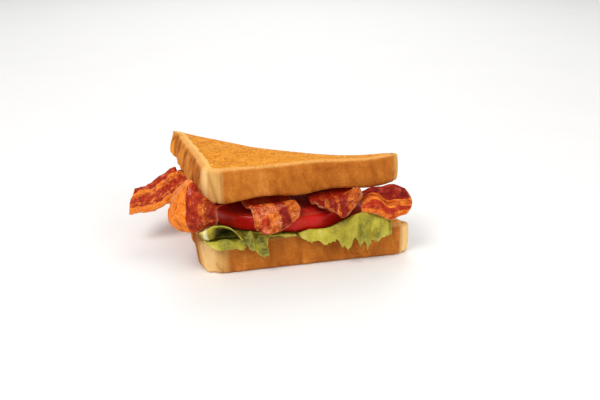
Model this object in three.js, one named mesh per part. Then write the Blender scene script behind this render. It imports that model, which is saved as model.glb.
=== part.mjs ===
// Half of a toasted bacon, lettuce and tomato sandwich, cut corner to corner.
// Millimetres, +Z up. The front crust runs along X, the left crust along Y, and the cut
// face looks towards +X +Y. The origin is the middle of the bottom slice's underside. The
// places below are measured from its front-left corner, and heights from its upper face.

import * as THREE from 'three';

// ---- Driving dimensions -------------------------------------------------------------

const SLICE_LEG = 110; // side of the square slice before it was cut
const CRUST_CORNER = 11; // radius of the slice's corners, seen from above
const CENTRE = SLICE_LEG / 3; // the right triangle's middle, from both crusts

const BOTTOM_THICK = 16.8;
const TOP_THICK = 14.3;
const TOP_LEG_X = 105.2; // the top slice toasted a little smaller
const TOP_LEG_Y = 107.3;
const TOP_CORNER = new THREE.Vector3(0.98, 2.87, 20.9); // its lower front-left corner
const TOP_TILT = -0.0763; // radians, down towards the back
const TOP_ROLL = -0.006;
const TOP_YAW = 0.0517;

const CRUST_EDGE = 1.3; // how far the crust's edges are rounded
const CRUST_BULGE = 0.5; // how far the crust's middle stands out
const FRONT_WRINKLE = 0.22; // depth of the crust's upright wrinkles
const SIDE_WRINKLE = 0.5;
const TOP_LEAN = 3.6; // how far the top slice's left crust leans in at its upper edge
const TOP_TAPER = 0.014; // and how much more it does for each millimetre back
const BOTTOM_LEAN = 1.3; // how far the bottom slice's left crust leans in at its lower edge
const LEAN_CURVE = 1.7; // a lean's growth with height, 1 for a flat wall
const SAG_MEAN = -2.0; // the soft underside of the top slice, at its front crust
const SAG_WAVE = 0.8;
const SAG_PITCH = 37;
const SAG_START = 12; // where along the crust it sags furthest
const SAG_REACH = 22; // how far in the sag fades
const PRESS_TOP = 7.2; // how far the knife pressed the top slice's face down at the cut
const PRESS_UNDER = 1.6; // and its underside
const PRESS_START = 0.35; // where that begins, from the right-angled corner to the cut
const CUT_EDGE = 0.12; // share of the crust's rounding that the cut edges have
const TIP_REACH = 5; // how far along the cut the tips' rounding goes
const TIP_LEAN = 0.35; // share of the left crust's lean at the tip
const CAP_RINGS = [0.1, 0.32, 0.62]; // rings of a slice's flat faces, towards their middle

const GAP = 0.35; // clearance between pieces that touch
const CUT_LINE = 109; // fillings end where x + y reaches this

const LEAF_THICK = 0.8;
const CUT_RUFFLE = 1.0; // how far a leaf's rim rises where it stands out of the cut
const RUFFLE_REACH = 0.035; // share of a leaf's flat part that this takes
const LEAF_LOW = GAP + LEAF_THICK / 2; // middle of the lower leaves
const LEAF_HIGH = LEAF_LOW + GAP + LEAF_THICK; // middle of the upper leaf, beside the tomato
const TOMATO_LOW = LEAF_LOW + GAP + LEAF_THICK / 2;
const TOMATO_THICK = 8.1;
const TOMATO_TOP = TOMATO_LOW + TOMATO_THICK;
const TOMATO_LOBE = 0.02; // depth of the rim's lobes, as a share of its reach
const TOMATO_EDGE = 1; // how far the rim's edges are rounded
const TOMATO_INNER = 12; // how far in from the rim its flat faces have a ring
const BACON_THICK = 2.1;
const WALL_CLEAR = 1.8; // how far outside the top slice's crust a strip starts to rise freely
const WALL_RISE = 6; // and how steeply it may

// ---- Colours ------------------------------------------------------------------------

const FINISHES = {
  toast: { color: 0xd69a52, roughness: 0.9, metalness: 0 },
  lettuce: { color: 0x9fb03c, roughness: 0.55, metalness: 0 },
  tomato: { color: 0xb52a24, roughness: 0.35, metalness: 0 },
  bacon: { color: 0xc2532c, roughness: 0.4, metalness: 0 },
};

// ---- Small helpers ------------------------------------------------------------------

const lerp = THREE.MathUtils.lerp;
const clamp = THREE.MathUtils.clamp;
const wave = (x, pitch, shift = 0) => Math.sin((2 * Math.PI * x) / pitch + shift);
const vector = ([x, y, z]) => new THREE.Vector3(x, y, z);

/** A smooth curve through a few stations, as a function of 0..1. */
function rail(points) {
  const curve = new THREE.CatmullRomCurve3(points.map(vector), false, 'catmullrom', 0.5);
  return (t) => curve.getPoint(clamp(t, 0, 1));
}

/** A closed body from its vertices and outward faces (triangles or quads). */
function body(name, finish, vertices, faces) {
  const index = [];
  for (const [a, b, c, d] of faces) {
    index.push(a, b, c);
    if (d !== undefined) index.push(a, c, d);
  }
  const geometry = new THREE.BufferGeometry();
  const positions = vertices.flatMap((p) => [p.x, p.y, p.z]);
  geometry.setAttribute('position', new THREE.Float32BufferAttribute(positions, 3));
  geometry.setIndex(index);
  const mesh = new THREE.Mesh(geometry, new THREE.MeshStandardMaterial(FINISHES[finish]));
  mesh.name = name;
  return mesh;
}

/** Stacks closed rings of equal length into one body, closed at both ends by a point. */
function stackRings(name, finish, first, rings, last) {
  const count = rings[0].length;
  const vertices = [first, ...rings.flat(), last];
  const at = (ring, k) => 1 + ring * count + (k % count);
  const end = vertices.length - 1;
  const faces = [];
  for (let k = 0; k < count; k += 1) {
    faces.push([0, at(0, k + 1), at(0, k)]);
    faces.push([end, at(rings.length - 1, k), at(rings.length - 1, k + 1)]);
    for (let r = 0; r + 1 < rings.length; r += 1) {
      faces.push([at(r, k), at(r, k + 1), at(r + 1, k + 1), at(r + 1, k)]);
    }
  }
  return body(name, finish, vertices, faces);
}

/** A thin sheet of even thickness over surface(u, v), both faces split alike. */
function sheet(name, finish, surface, thick, stepsU, stepsV) {
  const middle = (i, j) => surface(clamp(i / stepsU, 0, 1), clamp(j / stepsV, 0, 1));
  const upper = [];
  const lower = [];
  for (let i = 0; i <= stepsU; i += 1) {
    for (let j = 0; j <= stepsV; j += 1) {
      const along = middle(i + 1, j).sub(middle(i - 1, j));
      const across = middle(i, j + 1).sub(middle(i, j - 1));
      const normal = along.cross(across).normalize().multiplyScalar(thick / 2);
      upper.push(middle(i, j).add(normal));
      lower.push(middle(i, j).sub(normal));
    }
  }
  const row = stepsV + 1;
  const top = (i, j) => i * row + j;
  const under = (i, j) => upper.length + top(i, j);
  const faces = [];
  for (let i = 0; i < stepsU; i += 1) {
    for (let j = 0; j < stepsV; j += 1) {
      faces.push([top(i, j), top(i + 1, j), top(i + 1, j + 1), top(i, j + 1)]);
      faces.push([under(i, j), under(i, j + 1), under(i + 1, j + 1), under(i + 1, j)]);
    }
    faces.push([top(i, 0), under(i, 0), under(i + 1, 0), top(i + 1, 0)]);
    faces.push([top(i, stepsV), top(i + 1, stepsV), under(i + 1, stepsV), under(i, stepsV)]);
  }
  for (let j = 0; j < stepsV; j += 1) {
    faces.push([top(0, j), top(0, j + 1), under(0, j + 1), under(0, j)]);
    faces.push([top(stepsU, j), under(stepsU, j), under(stepsU, j + 1), top(stepsU, j + 1)]);
  }
  return body(name, finish, [...upper, ...lower], faces);
}

// ---- Bread --------------------------------------------------------------------------

/** Outline of a half slice: points with their outward direction, on crust or cut. */
function sliceOutline(legX, legY) {
  const r = CRUST_CORNER;
  const points = [];
  const put = (x, y, nx, ny, crust, wrinkle, lean = 0) => {
    points.push({ x, y, nx, ny, crust, wrinkle, lean });
  };
  const crustLine = (x0, y0, x1, y1, nx, ny, steps, wrinkle, lean) => {
    for (let k = 0; k < steps; k += 1) {
      put(lerp(x0, x1, k / steps), lerp(y0, y1, k / steps), nx, ny, 1, wrinkle, lean);
    }
  };
  const arc = (cx, cy, from, to, first, steps, wrinkle, leans = [0, 0]) => {
    for (let k = first; k < steps; k += 1) {
      const angle = lerp(from, to, k / steps);
      const nx = Math.cos(angle);
      const ny = Math.sin(angle);
      put(cx + r * nx, cy + r * ny, nx, ny, 1, wrinkle, lerp(leans[0], leans[1], k / steps));
    }
  };
  const cut = (x0, y0, x1, y1, steps) => {
    const length = Math.hypot(x1 - x0, y1 - y0);
    for (let k = 1; k < steps; k += 1) {
      const t = (1 - Math.cos((Math.PI * k) / steps)) / 2;
      const rounding = Math.max(CUT_EDGE, 1 - (Math.min(t, 1 - t) * length) / TIP_REACH);
      put(lerp(x0, x1, t), lerp(y0, y1, t), Math.SQRT1_2, Math.SQRT1_2, rounding, 0);
    }
  };
  const quarter = Math.PI / 2;
  const tip = r * (1 - Math.SQRT1_2);
  crustLine(r, 0, legX - r, 0, 0, -1, 24, FRONT_WRINKLE, 0);
  arc(legX - r, r, -quarter, -quarter / 2, 0, 3, FRONT_WRINKLE);
  put(legX - tip, tip, 1, 0, 1, 0);
  cut(legX - tip, tip, tip, legY - tip, 16);
  put(tip, legY - tip, 0, 1, 1, 0, TIP_LEAN);
  arc(r, legY - r, 1.5 * quarter, 2 * quarter, 1, 3, SIDE_WRINKLE, [TIP_LEAN, 1]);
  crustLine(0, legY - r, 0, r, -1, 0, 31, SIDE_WRINKLE, 1);
  arc(r, r, 2 * quarter, 3 * quarter, 0, 7, SIDE_WRINKLE, [1, 0]);
  return points;
}

/** How far the crust stands out at a place along it, from its upright wrinkles. */
function crustRelief(point, height) {
  const along = point.x - point.y;
  const broad = wave(along, 13.1, 1.3 - 0.1 * height);
  return point.wrinkle * (0.6 * wave(along, 8.7, 0.15 * height) + 0.4 * broad);
}

/** How far a place on the top slice shares in the knife's press, 0 to 1. */
function knifePress(x, y) {
  const towardsCut = clamp((x / TOP_LEG_X + y / TOP_LEG_Y - PRESS_START) / (1 - PRESS_START), 0, 1);
  const along = clamp(x / TOP_LEG_X - y / TOP_LEG_Y, -1, 1);
  return (1 - along * along) ** 0.8 * towardsCut ** 2;
}

/** Height of the top slice's soft underside, in its own coordinates. */
function underside(x, y) {
  const sag = SAG_MEAN - SAG_WAVE * Math.cos((2 * Math.PI * (x - SAG_START)) / SAG_PITCH);
  return sag * Math.exp(-Math.max(y, 0) / SAG_REACH) - PRESS_UNDER * knifePress(x, y);
}

/**
 * A half slice with rounded crust edges. The functions give how far its left crust leans in
 * at a share of its height, and its two faces' unevenness.
 */
function halfSlice(name, legX, legY, thick, { lean, under, over }) {
  const outline = sliceOutline(legX, legY);
  const middle = { x: legX / 3, y: legY / 3 };
  const heights = [0, 0.07, 0.3, 0.7, 0.93, 1];
  const insets = [1, 0.25, -0.15, -0.15, 0.25, 1];
  const ring = (level, shrink) => outline.map((p, k) => {
    const height = heights[level] * thick;
    const bulge = CRUST_BULGE * Math.sin(Math.PI * heights[level]);
    const out = p.crust * (crustRelief(p, height) + bulge - insets[level] * CRUST_EDGE)
      - p.lean * lean(heights[level], p.y);
    const x = lerp(p.x + p.nx * out, middle.x, shrink);
    const y = lerp(p.y + p.ny * out, middle.y, shrink);
    const z = height + (1 - heights[level]) * under(x, y) + heights[level] * over(x, y);
    return new THREE.Vector3(x, y, z);
  });
  const last = heights.length - 1;
  const rings = [...CAP_RINGS].reverse().map((shrink) => ring(0, shrink));
  heights.forEach((_, level) => rings.push(ring(level, 0)));
  rings.push(...CAP_RINGS.map((shrink) => ring(last, shrink)));
  const low = new THREE.Vector3(middle.x, middle.y, under(middle.x, middle.y));
  const high = new THREE.Vector3(middle.x, middle.y, thick + over(middle.x, middle.y));
  return stackRings(name, 'toast', low, rings, high);
}

function breadBottom() {
  return halfSlice('bread_bottom', SLICE_LEG, SLICE_LEG, BOTTOM_THICK, {
    lean: (share) => BOTTOM_LEAN * (1 - share) ** LEAN_CURVE,
    under: () => 0,
    over: () => 0,
  });
}

function breadTop() {
  const uneven = (x, y) => 0.3 * wave(x + 0.4 * y, 47) + 0.2 * wave(y, 38, 1);
  const slice = halfSlice('bread_top', TOP_LEG_X, TOP_LEG_Y, TOP_THICK, {
    lean: (share, y) => TOP_LEAN * share ** LEAN_CURVE + TOP_TAPER * y,
    under: underside,
    over: (x, y) => uneven(x, y) - PRESS_TOP * knifePress(x, y),
  });
  slice.position.copy(TOP_CORNER);
  slice.rotation.set(TOP_TILT, TOP_ROLL, TOP_YAW, 'ZXY');
  return slice;
}

/** How high a filling may reach: the top slice's underside, and freer outside its crust. */
function ceiling(x, y) {
  const dx = x - TOP_CORNER.x;
  const dy = y - TOP_CORNER.y;
  const localX = Math.cos(TOP_YAW) * dx + Math.sin(TOP_YAW) * dy;
  const localY = Math.cos(TOP_YAW) * dy - Math.sin(TOP_YAW) * dx;
  const fromX = Math.max(0, CRUST_CORNER - localX);
  const fromY = Math.max(0, CRUST_CORNER - localY);
  const outside = Math.hypot(fromX, fromY) - CRUST_CORNER;
  const rise = WALL_RISE * Math.max(0, outside - WALL_CLEAR);
  return TOP_CORNER.z + TOP_TILT * localY - TOP_ROLL * localX + underside(localX, localY) + rise;
}

// ---- Tomato -------------------------------------------------------------------------

/** An oval slice with a lobed rim, cut off by the knife where it crosses the cut line. */
function tomatoSlice(name, centre, radii, lobes, phase, steps) {
  const room = CUT_LINE - centre.x - centre.y;
  const ring = (z, grow) => Array.from({ length: steps }, (_, k) => {
    const angle = (2 * Math.PI * k) / steps;
    const c = Math.cos(angle);
    const s = Math.sin(angle);
    const oval = 1 / Math.hypot(c / radii.x, s / radii.y);
    const lobed = oval * (1 + TOMATO_LOBE * Math.cos(lobes * angle + phase)) + grow;
    const toCut = c + s > 0 ? room / (c + s) : Infinity;
    const reach = Math.min(lobed, toCut);
    return new THREE.Vector3(centre.x + c * reach, centre.y + s * reach, z);
  });
  const middle = (z) => new THREE.Vector3(centre.x, centre.y, z);
  const rings = [
    ring(TOMATO_LOW, -TOMATO_INNER),
    ring(TOMATO_LOW, -TOMATO_EDGE),
    ring(TOMATO_LOW + 0.16 * TOMATO_THICK, -TOMATO_EDGE / 5),
    ring(TOMATO_LOW + 0.5 * TOMATO_THICK, TOMATO_EDGE / 5),
    ring(TOMATO_LOW + 0.84 * TOMATO_THICK, -TOMATO_EDGE / 5),
    ring(TOMATO_TOP, -TOMATO_EDGE),
    ring(TOMATO_TOP, -TOMATO_INNER),
  ];
  return stackRings(name, 'tomato', middle(TOMATO_LOW), rings, middle(TOMATO_TOP));
}

// ---- Lettuce ------------------------------------------------------------------------

/** Smooth way through three places, at 0, one half and 1. */
function bend(a, b, c, t) {
  const p = a.clone().multiplyScalar((1 - t) * (1 - 2 * t));
  p.addScaledVector(b, 4 * t * (1 - t));
  return p.addScaledVector(c, t * (2 * t - 1));
}

/** A leaf pressed flat between back and lip, which then bends over face to its rim. */
function leaf({ name, back, lip, face, rim, flatShare, ruffle, frill, folds, steps }) {
  const [backAt, lipAt, faceAt, rimAt] = [back, lip, face, rim].map(rail);
  const surface = (u, v) => {
    if (v < flatShare) {
      const t = (v / flatShare) ** 3;
      const p = backAt(u).lerp(lipAt(u), t);
      p.z += ruffle * (0.5 + 0.5 * wave(u, 1 / folds)) * Math.max(0, 1 - t / RUFFLE_REACH);
      return p;
    }
    const t = (v - flatShare) / (1 - flatShare);
    const p = bend(lipAt(u), faceAt(u), rimAt(u), t);
    const stand = frill * t * t * (0.5 + 0.5 * wave(u, 1 / folds, 1));
    p.y -= stand;
    return p;
  };
  return sheet(name, 'lettuce', surface, LEAF_THICK, steps[0], steps[1]);
}

function lettuceLeafLeft() {
  return leaf({
    name: 'lettuce_leaf_left',
    back: [[2.5, 107.5, LEAF_LOW], [13, 99, LEAF_LOW], [24.5, 87.5, LEAF_LOW],
      [35.5, 76.5, LEAF_LOW], [46.2, 66, LEAF_LOW]],
    lip: [[2.5, 1, LEAF_LOW], [12, 0.5, LEAF_LOW], [22.5, 0.5, LEAF_LOW],
      [32, 0.2, LEAF_LOW], [46, -1.2, LEAF_LOW]],
    face: [[1.6, -2.2, 3.4], [5, -3.4, 2.6], [12, -3.6, 2.2], [19.4, -3.2, 1], [24, -2.8, 5.4],
      [27.6, -3.2, 0.3], [31.4, -2.2, 2.4], [37, -2, 2.6], [46.4, -2.4, 2.2]],
    rim: [[1.8, -3.2, 3.8], [2.6, -4.2, 1.8], [4.6, -4.6, -1], [7.5, -4.7, -2.1],
      [12, -4.7, -1.8], [16.3, -4.7, -2.1], [19.9, -4.6, -3.8], [21.3, -3.8, 0.3],
      [22.8, -4.2, -2.8], [26, -4.6, -5.9], [29.5, -4.7, -8.4], [32.9, -4.5, -7.6],
      [31.9, -3.6, -1], [33.5, -2.8, 2.4], [37.5, -2.9, 2.2], [42, -3, 0.6], [46.6, -3.2, 1.8]],
    flatShare: 3 / 9,
    ruffle: CUT_RUFFLE,
    frill: 0.6,
    folds: 4,
    steps: [42, 9],
  });
}

function lettuceLeafLeftUpper() {
  return leaf({
    name: 'lettuce_leaf_left_upper',
    back: [[3, 14, LEAF_HIGH], [7.5, 13, LEAF_HIGH], [11.5, 12, LEAF_HIGH],
      [15.5, 9, LEAF_HIGH], [19.5, 7, LEAF_HIGH]],
    lip: [[2, 2, LEAF_HIGH], [6.5, 1.7, LEAF_HIGH], [11, 1.5, LEAF_HIGH],
      [15.5, 1.2, LEAF_HIGH], [19.8, 1, LEAF_HIGH]],
    face: [[0.3, -2.6, 5], [5, -3, 5.6], [11, 1.8, 5.6], [15.5, 3.4, 4.9], [19.4, -0.8, 3.2]],
    rim: [[-0.8, -3.2, 8.2], [2.1, -3.8, 9.7], [5, -4.2, 11], [7.4, -4.4, 11.8],
      [11.5, -4.7, 10.2], [15, -4.9, 8.8], [17.2, -5, 5.8], [18.8, -5, 3.8], [20.1, -4.8, 2.8]],
    flatShare: 2 / 7,
    ruffle: 0,
    frill: 0.3,
    folds: 3,
    steps: [26, 7],
  });
}

function lettuceLeafRight() {
  return leaf({
    name: 'lettuce_leaf_right',
    back: [[47.5, 64.7, LEAF_LOW], [60, 52.2, LEAF_LOW], [72.5, 39.7, LEAF_LOW],
      [86, 26.2, LEAF_LOW], [100, 12, LEAF_LOW]],
    lip: [[47.4, -1.2, LEAF_LOW], [61, -0.4, LEAF_LOW], [74, 0.8, LEAF_LOW], [86, 1, LEAF_LOW],
      [96.5, 2, LEAF_LOW]],
    face: [[47.9, -2.4, 2.6], [53, -2.9, 3.2], [60, -3, 2.8], [66, -3.2, 4.4], [73.5, -3.4, 7.2],
      [79, -3.4, 10], [86, -3.4, 8], [91.5, -3.2, 6.2], [94.6, -3, 3.2]],
    rim: [[48, -3.2, 1.2], [50.3, -3.8, -1.2], [54, -4.5, -2.9], [58, -4.7, -3.2],
      [61.5, -4.9, -6.2], [65.6, -4.7, -5], [67, -4.5, -3.5], [69.4, -4.9, -7.2],
      [71.6, -5.3, -8.9], [74.3, -5.1, -7.6], [76.5, -4.9, -7.2], [79.5, -5.1, -7.6],
      [82.4, -5.3, -9.7], [84, -4.9, -6.2], [90, -4.5, -5.6], [94.4, -4.1, -4.5], [95, -3.4, -2]],
    flatShare: 3 / 9,
    ruffle: CUT_RUFFLE,
    frill: 0.8,
    folds: 6,
    steps: [48, 9],
  });
}

// ---- Bacon --------------------------------------------------------------------------

/**
 * A fried strip whose length runs from its hidden end to its free end, through rails laid
 * side by side across it. It ripples as it goes along its run, in plan, and where bread
 * lies over it, it is pressed between the layers.
 */
function baconStrip({ name, rails, run, pitch, ripple, phase = 0, steps = [20, 6] }) {
  const lines = rails.map(rail);
  const across = (u, v) => {
    const stations = lines.map((line) => line(u));
    if (stations.length === 2) return stations[0].lerp(stations[1], v);
    return new THREE.CatmullRomCurve3(stations, false, 'catmullrom', 0.5).getPoint(v);
  };
  const surface = (u, v) => {
    const p = across(u, v);
    const height = lerp(ripple[0], ripple[1], u);
    p.z += height * wave(p.x * run[0] + p.y * run[1] + Math.sin(3 * v + phase), pitch, phase);
    const room = BACON_THICK / 2 + 1.5 * GAP;
    const high = ceiling(p.x, p.y) - room;
    const low = high < TOP_CORNER.z - room ? TOMATO_TOP + room : -Infinity;
    p.z = clamp(p.z, low, high);
    return p;
  };
  return sheet(name, 'bacon', surface, BACON_THICK, steps[0], steps[1]);
}

function baconStrips() {
  return [
    baconStrip({
      name: 'bacon_strip_left',
      rails: [
        [[41.5, 70.5, 12.4], [20, 69, 12.9], [1.5, 69, 14], [-4.5, 66, 18.4],
          [-10.5, 64.5, 13.4], [-17.6, 60.5, 12.2], [-22.6, 58, 10.4], [-27, 56, 9.5]],
        [[52.5, 59.5, 12.4], [24, 57.5, 12.7], [2, 58, 12.9], [-4.4, 57.5, 13.2],
          [-10, 54.5, 9.8], [-17.8, 51.5, 8.4], [-24.2, 50, 6.3], [-30, 49.5, 5.6]],
        [[63.5, 48.5, 12.4], [28, 46, 12.5], [2, 46, 12.3], [-4, 45.5, 8.8],
          [-10.4, 43.5, 4.2], [-18, 42, 3.4], [-24.6, 42, 1.7], [-31.4, 42.5, 1.8]],
      ],
      run: [1, 0],
      pitch: 15,
      ripple: [2, 0.45],
      steps: [30, 6],
    }),
    baconStrip({
      name: 'bacon_strip_corner',
      rails: [
        [[10, 42, 14.8], [3, 38, 16.6], [-2.8, 33, 18.8], [-7, 22.5, 20.4],
          [-10.4, 13.5, 20.6], [-12.6, 9, 17.6], [-13.6, 6.2, 12.6], [-12.1, 8, 8.2]],
        [[11.6, 33, 14.8], [5.5, 27, 16.4], [-0.8, 22.5, 18], [-3.8, 16, 26],
          [-7.6, 8, 25.4], [-9.6, 3, 19.6], [-10.2, 0.6, 13.4], [-8.4, 1.6, 7.8]],
        [[14, 26, 14.8], [8, 19, 16.4], [1.8, 13.6, 17.8], [-0.7, 9, 29.2],
          [-4.4, 3.4, 26.4], [-6, -1, 19.4], [-6.2, -2.4, 13.4], [-4.4, -1.4, 8]],
        [[16.8, 20.5, 14.8], [11.5, 13.5, 16.3], [5.2, 8.2, 17], [1, 3.6, 25],
          [-1.2, -0.8, 22.4], [-1.8, -3.2, 17.4], [-1.6, -3.4, 12.6], [-0.6, -2, 8.8]],
        [[19, 17, 14.8], [15.5, 11, 16], [11.5, 6.4, 16.8], [8.8, 0.8, 17.8],
          [8.2, -2, 17.4], [8.4, -3.2, 15.6], [8.6, -3.2, 13.4], [7.8, -2.2, 11.4]],
      ],
      run: [1, 0],
      pitch: 17,
      ripple: [0.3, 0.2],
      steps: [26, 8],
    }),
    baconStrip({
      name: 'bacon_strip_front',
      rails: [
        [[22, 37, 13], [21.6, 20, 14], [23.5, 8, 14.9], [24.6, 0, 15.8],
          [25.1, -4.5, 14], [25.6, -6, 8.8]],
        [[30, 38, 13], [30, 20, 14.2], [30, 7, 15.1], [30.3, -2.2, 16.2],
          [30.5, -6.4, 12.5], [30.6, -7, 5.7]],
        [[39, 38, 13], [39, 20, 14.5], [39, 7, 15.2], [39.3, -1.5, 16.4],
          [39.6, -6, 13], [39.2, -7, 7.2]],
        [[47, 38, 13], [47, 20, 14], [47, 8, 15], [47.5, 1, 16.6],
          [48.2, -4.5, 16.5], [47, -6, 12.8]],
      ],
      run: [0, 1],
      pitch: 15,
      ripple: [1.2, 0.3],
      phase: 1,
      steps: [20, 8],
    }),
    baconStrip({
      name: 'bacon_strip_middle',
      rails: [
        [[67, 44, 12.6], [59, 28, 13.5], [56, 14, 13.9], [55.8, 4, 15.2],
          [56, -2.3, 16.6], [57.6, -5, 15.8]],
        [[72, 38, 12.7], [65, 22, 14.5], [63.6, 10, 15.2], [63.6, 0, 17],
          [64, -4.8, 16], [65, -6.2, 13.2]],
        [[76, 35, 13], [71, 20, 15], [69.8, 9, 16.2], [69.6, 0, 17.4],
          [69.8, -5, 14.5], [70, -6.4, 10.2]],
        [[81.5, 30, 14.2], [79.8, 19, 16.2], [79.4, 9.5, 17.4], [79.6, 3.6, 20.8],
          [79.8, -1, 20], [79.4, -3.4, 18.4]],
      ],
      run: [0, 1],
      pitch: 13,
      ripple: [2, 0.25],
      phase: 2.2,
      steps: [20, 8],
    }),
    baconStrip({
      name: 'bacon_strip_right',
      rails: [
        [[84.5, 17, 12], [90, 14, 12.4], [97.5, 9, 14.4], [102.5, 6.5, 17.4]],
        [[81.8, 3.4, 18.2], [88, 3.8, 19.4], [96.5, 4, 20], [104.8, 3.8, 17.4]],
        [[80.6, 1.2, 16.8], [88, 1.4, 16.9], [94.5, 1.2, 13.4], [106.8, 0.8, 13.6]],
        [[78.8, -2.2, 14.4], [86.5, -3.8, 15.2], [94, -4.4, 11.4], [106, -2.4, 11]],
        [[79.4, -4, 11.8], [86, -5, 9], [94, -5.4, 6.1], [102.6, -4.2, 7.4]],
      ],
      run: [1, 0],
      pitch: 12,
      ripple: [0.6, 0.25],
      steps: [14, 13],
    }),
    baconStrip({
      name: 'bacon_strip_back',
      rails: [
        [[15, 96, 11.9], [3, 96, 12.1]],
        [[31.5, 79.5, 12.1], [2, 77, 12.4]],
      ],
      run: [1, 0],
      pitch: 14,
      ripple: [1.4, 1.0],
      steps: [10, 4],
    }),
  ];
}

// ---- The sandwich -------------------------------------------------------------------

const sandwich = new THREE.Group();
sandwich.name = 'blt_sandwich_half';
sandwich.position.set(-CENTRE, -CENTRE, 0);

const onBottomSlice = new THREE.Group();
onBottomSlice.position.z = BOTTOM_THICK;
onBottomSlice.add(
  lettuceLeafLeft(),
  lettuceLeafLeftUpper(),
  lettuceLeafRight(),
  tomatoSlice('tomato_slice', { x: 50, y: 34 }, { x: 42, y: 34 }, 5, 0.6, 36),
  tomatoSlice('tomato_slice_back', { x: 19, y: 86 }, { x: 17, y: 15 }, 4, 2.1, 28),
  ...baconStrips(),
  breadTop(),
);
sandwich.add(breadBottom(), onBottomSlice);

export default sandwich;
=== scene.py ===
"""Looks of half a toasted bacon, lettuce and tomato sandwich, cut corner to corner.

Shapes are worked out in millimetres from the front-left corner of the bottom slice, with
heights above that slice's upper face. `Layout.to_frame` turns them into metres in the
part's own frame when a mesh is made.
"""

import logging
import math
from dataclasses import dataclass, field, replace
from enum import Enum
from typing import Callable, Protocol, Sequence

import bpy
import numpy as np
from mathutils import Matrix, Vector


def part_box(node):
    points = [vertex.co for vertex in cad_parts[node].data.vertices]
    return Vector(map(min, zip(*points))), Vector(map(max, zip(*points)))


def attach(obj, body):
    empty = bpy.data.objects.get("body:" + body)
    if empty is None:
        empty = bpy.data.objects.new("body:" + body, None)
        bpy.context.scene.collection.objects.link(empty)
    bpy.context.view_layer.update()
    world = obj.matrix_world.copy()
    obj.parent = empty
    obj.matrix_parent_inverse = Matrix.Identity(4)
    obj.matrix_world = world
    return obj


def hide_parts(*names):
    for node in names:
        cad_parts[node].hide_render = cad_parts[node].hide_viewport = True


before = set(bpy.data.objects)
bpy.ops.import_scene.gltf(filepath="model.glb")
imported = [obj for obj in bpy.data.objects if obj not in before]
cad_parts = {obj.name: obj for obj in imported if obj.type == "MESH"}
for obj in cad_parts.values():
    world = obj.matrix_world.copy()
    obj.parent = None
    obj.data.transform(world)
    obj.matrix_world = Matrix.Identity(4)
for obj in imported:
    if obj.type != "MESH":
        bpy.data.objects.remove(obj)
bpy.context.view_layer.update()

LOG = logging.getLogger("sandwich")
MM = 0.001
BODY = "root"

Array = np.ndarray
Object = bpy.types.Object
Material = bpy.types.Material
Colour = tuple[float, float, float]
Spot = tuple[float, float]
Profile = Callable[[Array], Array]
Places = Sequence[Sequence[float]]

HASH = (73856093, 19349663, 83492791, 2654435)
TABLE_SIZE = 4096
FAR_CELLS = 9.0
TINY = 1e-9
# Sockets by number, because several of a Mix or a Random Value node's share a name.
MIX_FACTOR, MIX_FIRST, MIX_SECOND, MIX_RESULT = 0, 6, 7, 2
RANDOM_LEAST, RANDOM_MOST, RANDOM_RESULT = 2, 3, 1
# Column of an outline's rows that holds the share of the crust's rounding.
ROUNDING = 4


# ---- Numbers ------------------------------------------------------------------------


def wave(value: Array, pitch: float, shift: float | Array = 0.0) -> Array:
    """A sine of the given pitch."""
    return np.sin(2 * math.pi * value / pitch + shift)


def ease(low: float | Array, high: float | Array, value: Array) -> Array:
    """0 below low, 1 above high, and smooth between them."""
    share = np.clip((value - low) / (high - low), 0, 1)
    return share * share * (3 - 2 * share)


def mix(first: Array | float, second: Array | float, share: Array | float) -> Array:
    """The way from first to second, by share."""
    return first + (second - first) * share


def spline(stations: Array, t: Array) -> Array:
    """A uniform Catmull-Rom curve through stations.

    Args:
        stations: Places along the curve, first axis; other axes are carried along.
        t: Positions from 0 to 1.

    Returns:
        The curve's values, with t as the first axis.
    """
    count = len(stations)
    ends = (2 * stations[0] - stations[1], 2 * stations[-1] - stations[-2])
    padded = np.concatenate([ends[0][None], stations, ends[1][None]])
    place = np.clip(t, 0, 1) * (count - 1)
    start = np.minimum(place.astype(int), count - 2)
    s = (place - start).reshape((-1,) + (1,) * (stations.ndim - 1))
    a, b, c, d = (padded[start + k] for k in range(4))
    slope_b = (c - a) / 2
    slope_c = (d - b) / 2
    cubic = 2 * b - 2 * c + slope_b + slope_c
    square = 3 * c - 3 * b - 2 * slope_b - slope_c
    return ((cubic * s + square) * s + slope_b) * s + b


def unit(vectors: Array) -> Array:
    """Vectors scaled to length 1."""
    length = np.linalg.norm(vectors, axis=-1, keepdims=True)
    return vectors / np.maximum(length, TINY)


def normals(grid: Array) -> Array:
    """Unit normals of a grid of places."""
    return unit(np.cross(np.gradient(grid, axis=0), np.gradient(grid, axis=1)))


def places(x: Array, y: Array | float, z: Array | float) -> Array:
    """Places from their coordinates, spread to one shape, with x, y, z as the last axis."""
    return np.stack(np.broadcast_arrays(x, y, z), axis=-1)


def turn(axis: str, angle: float) -> Array:
    """The 3 by 3 matrix of a turn about one axis."""
    return np.array(Matrix.Rotation(angle, 3, axis))


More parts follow.
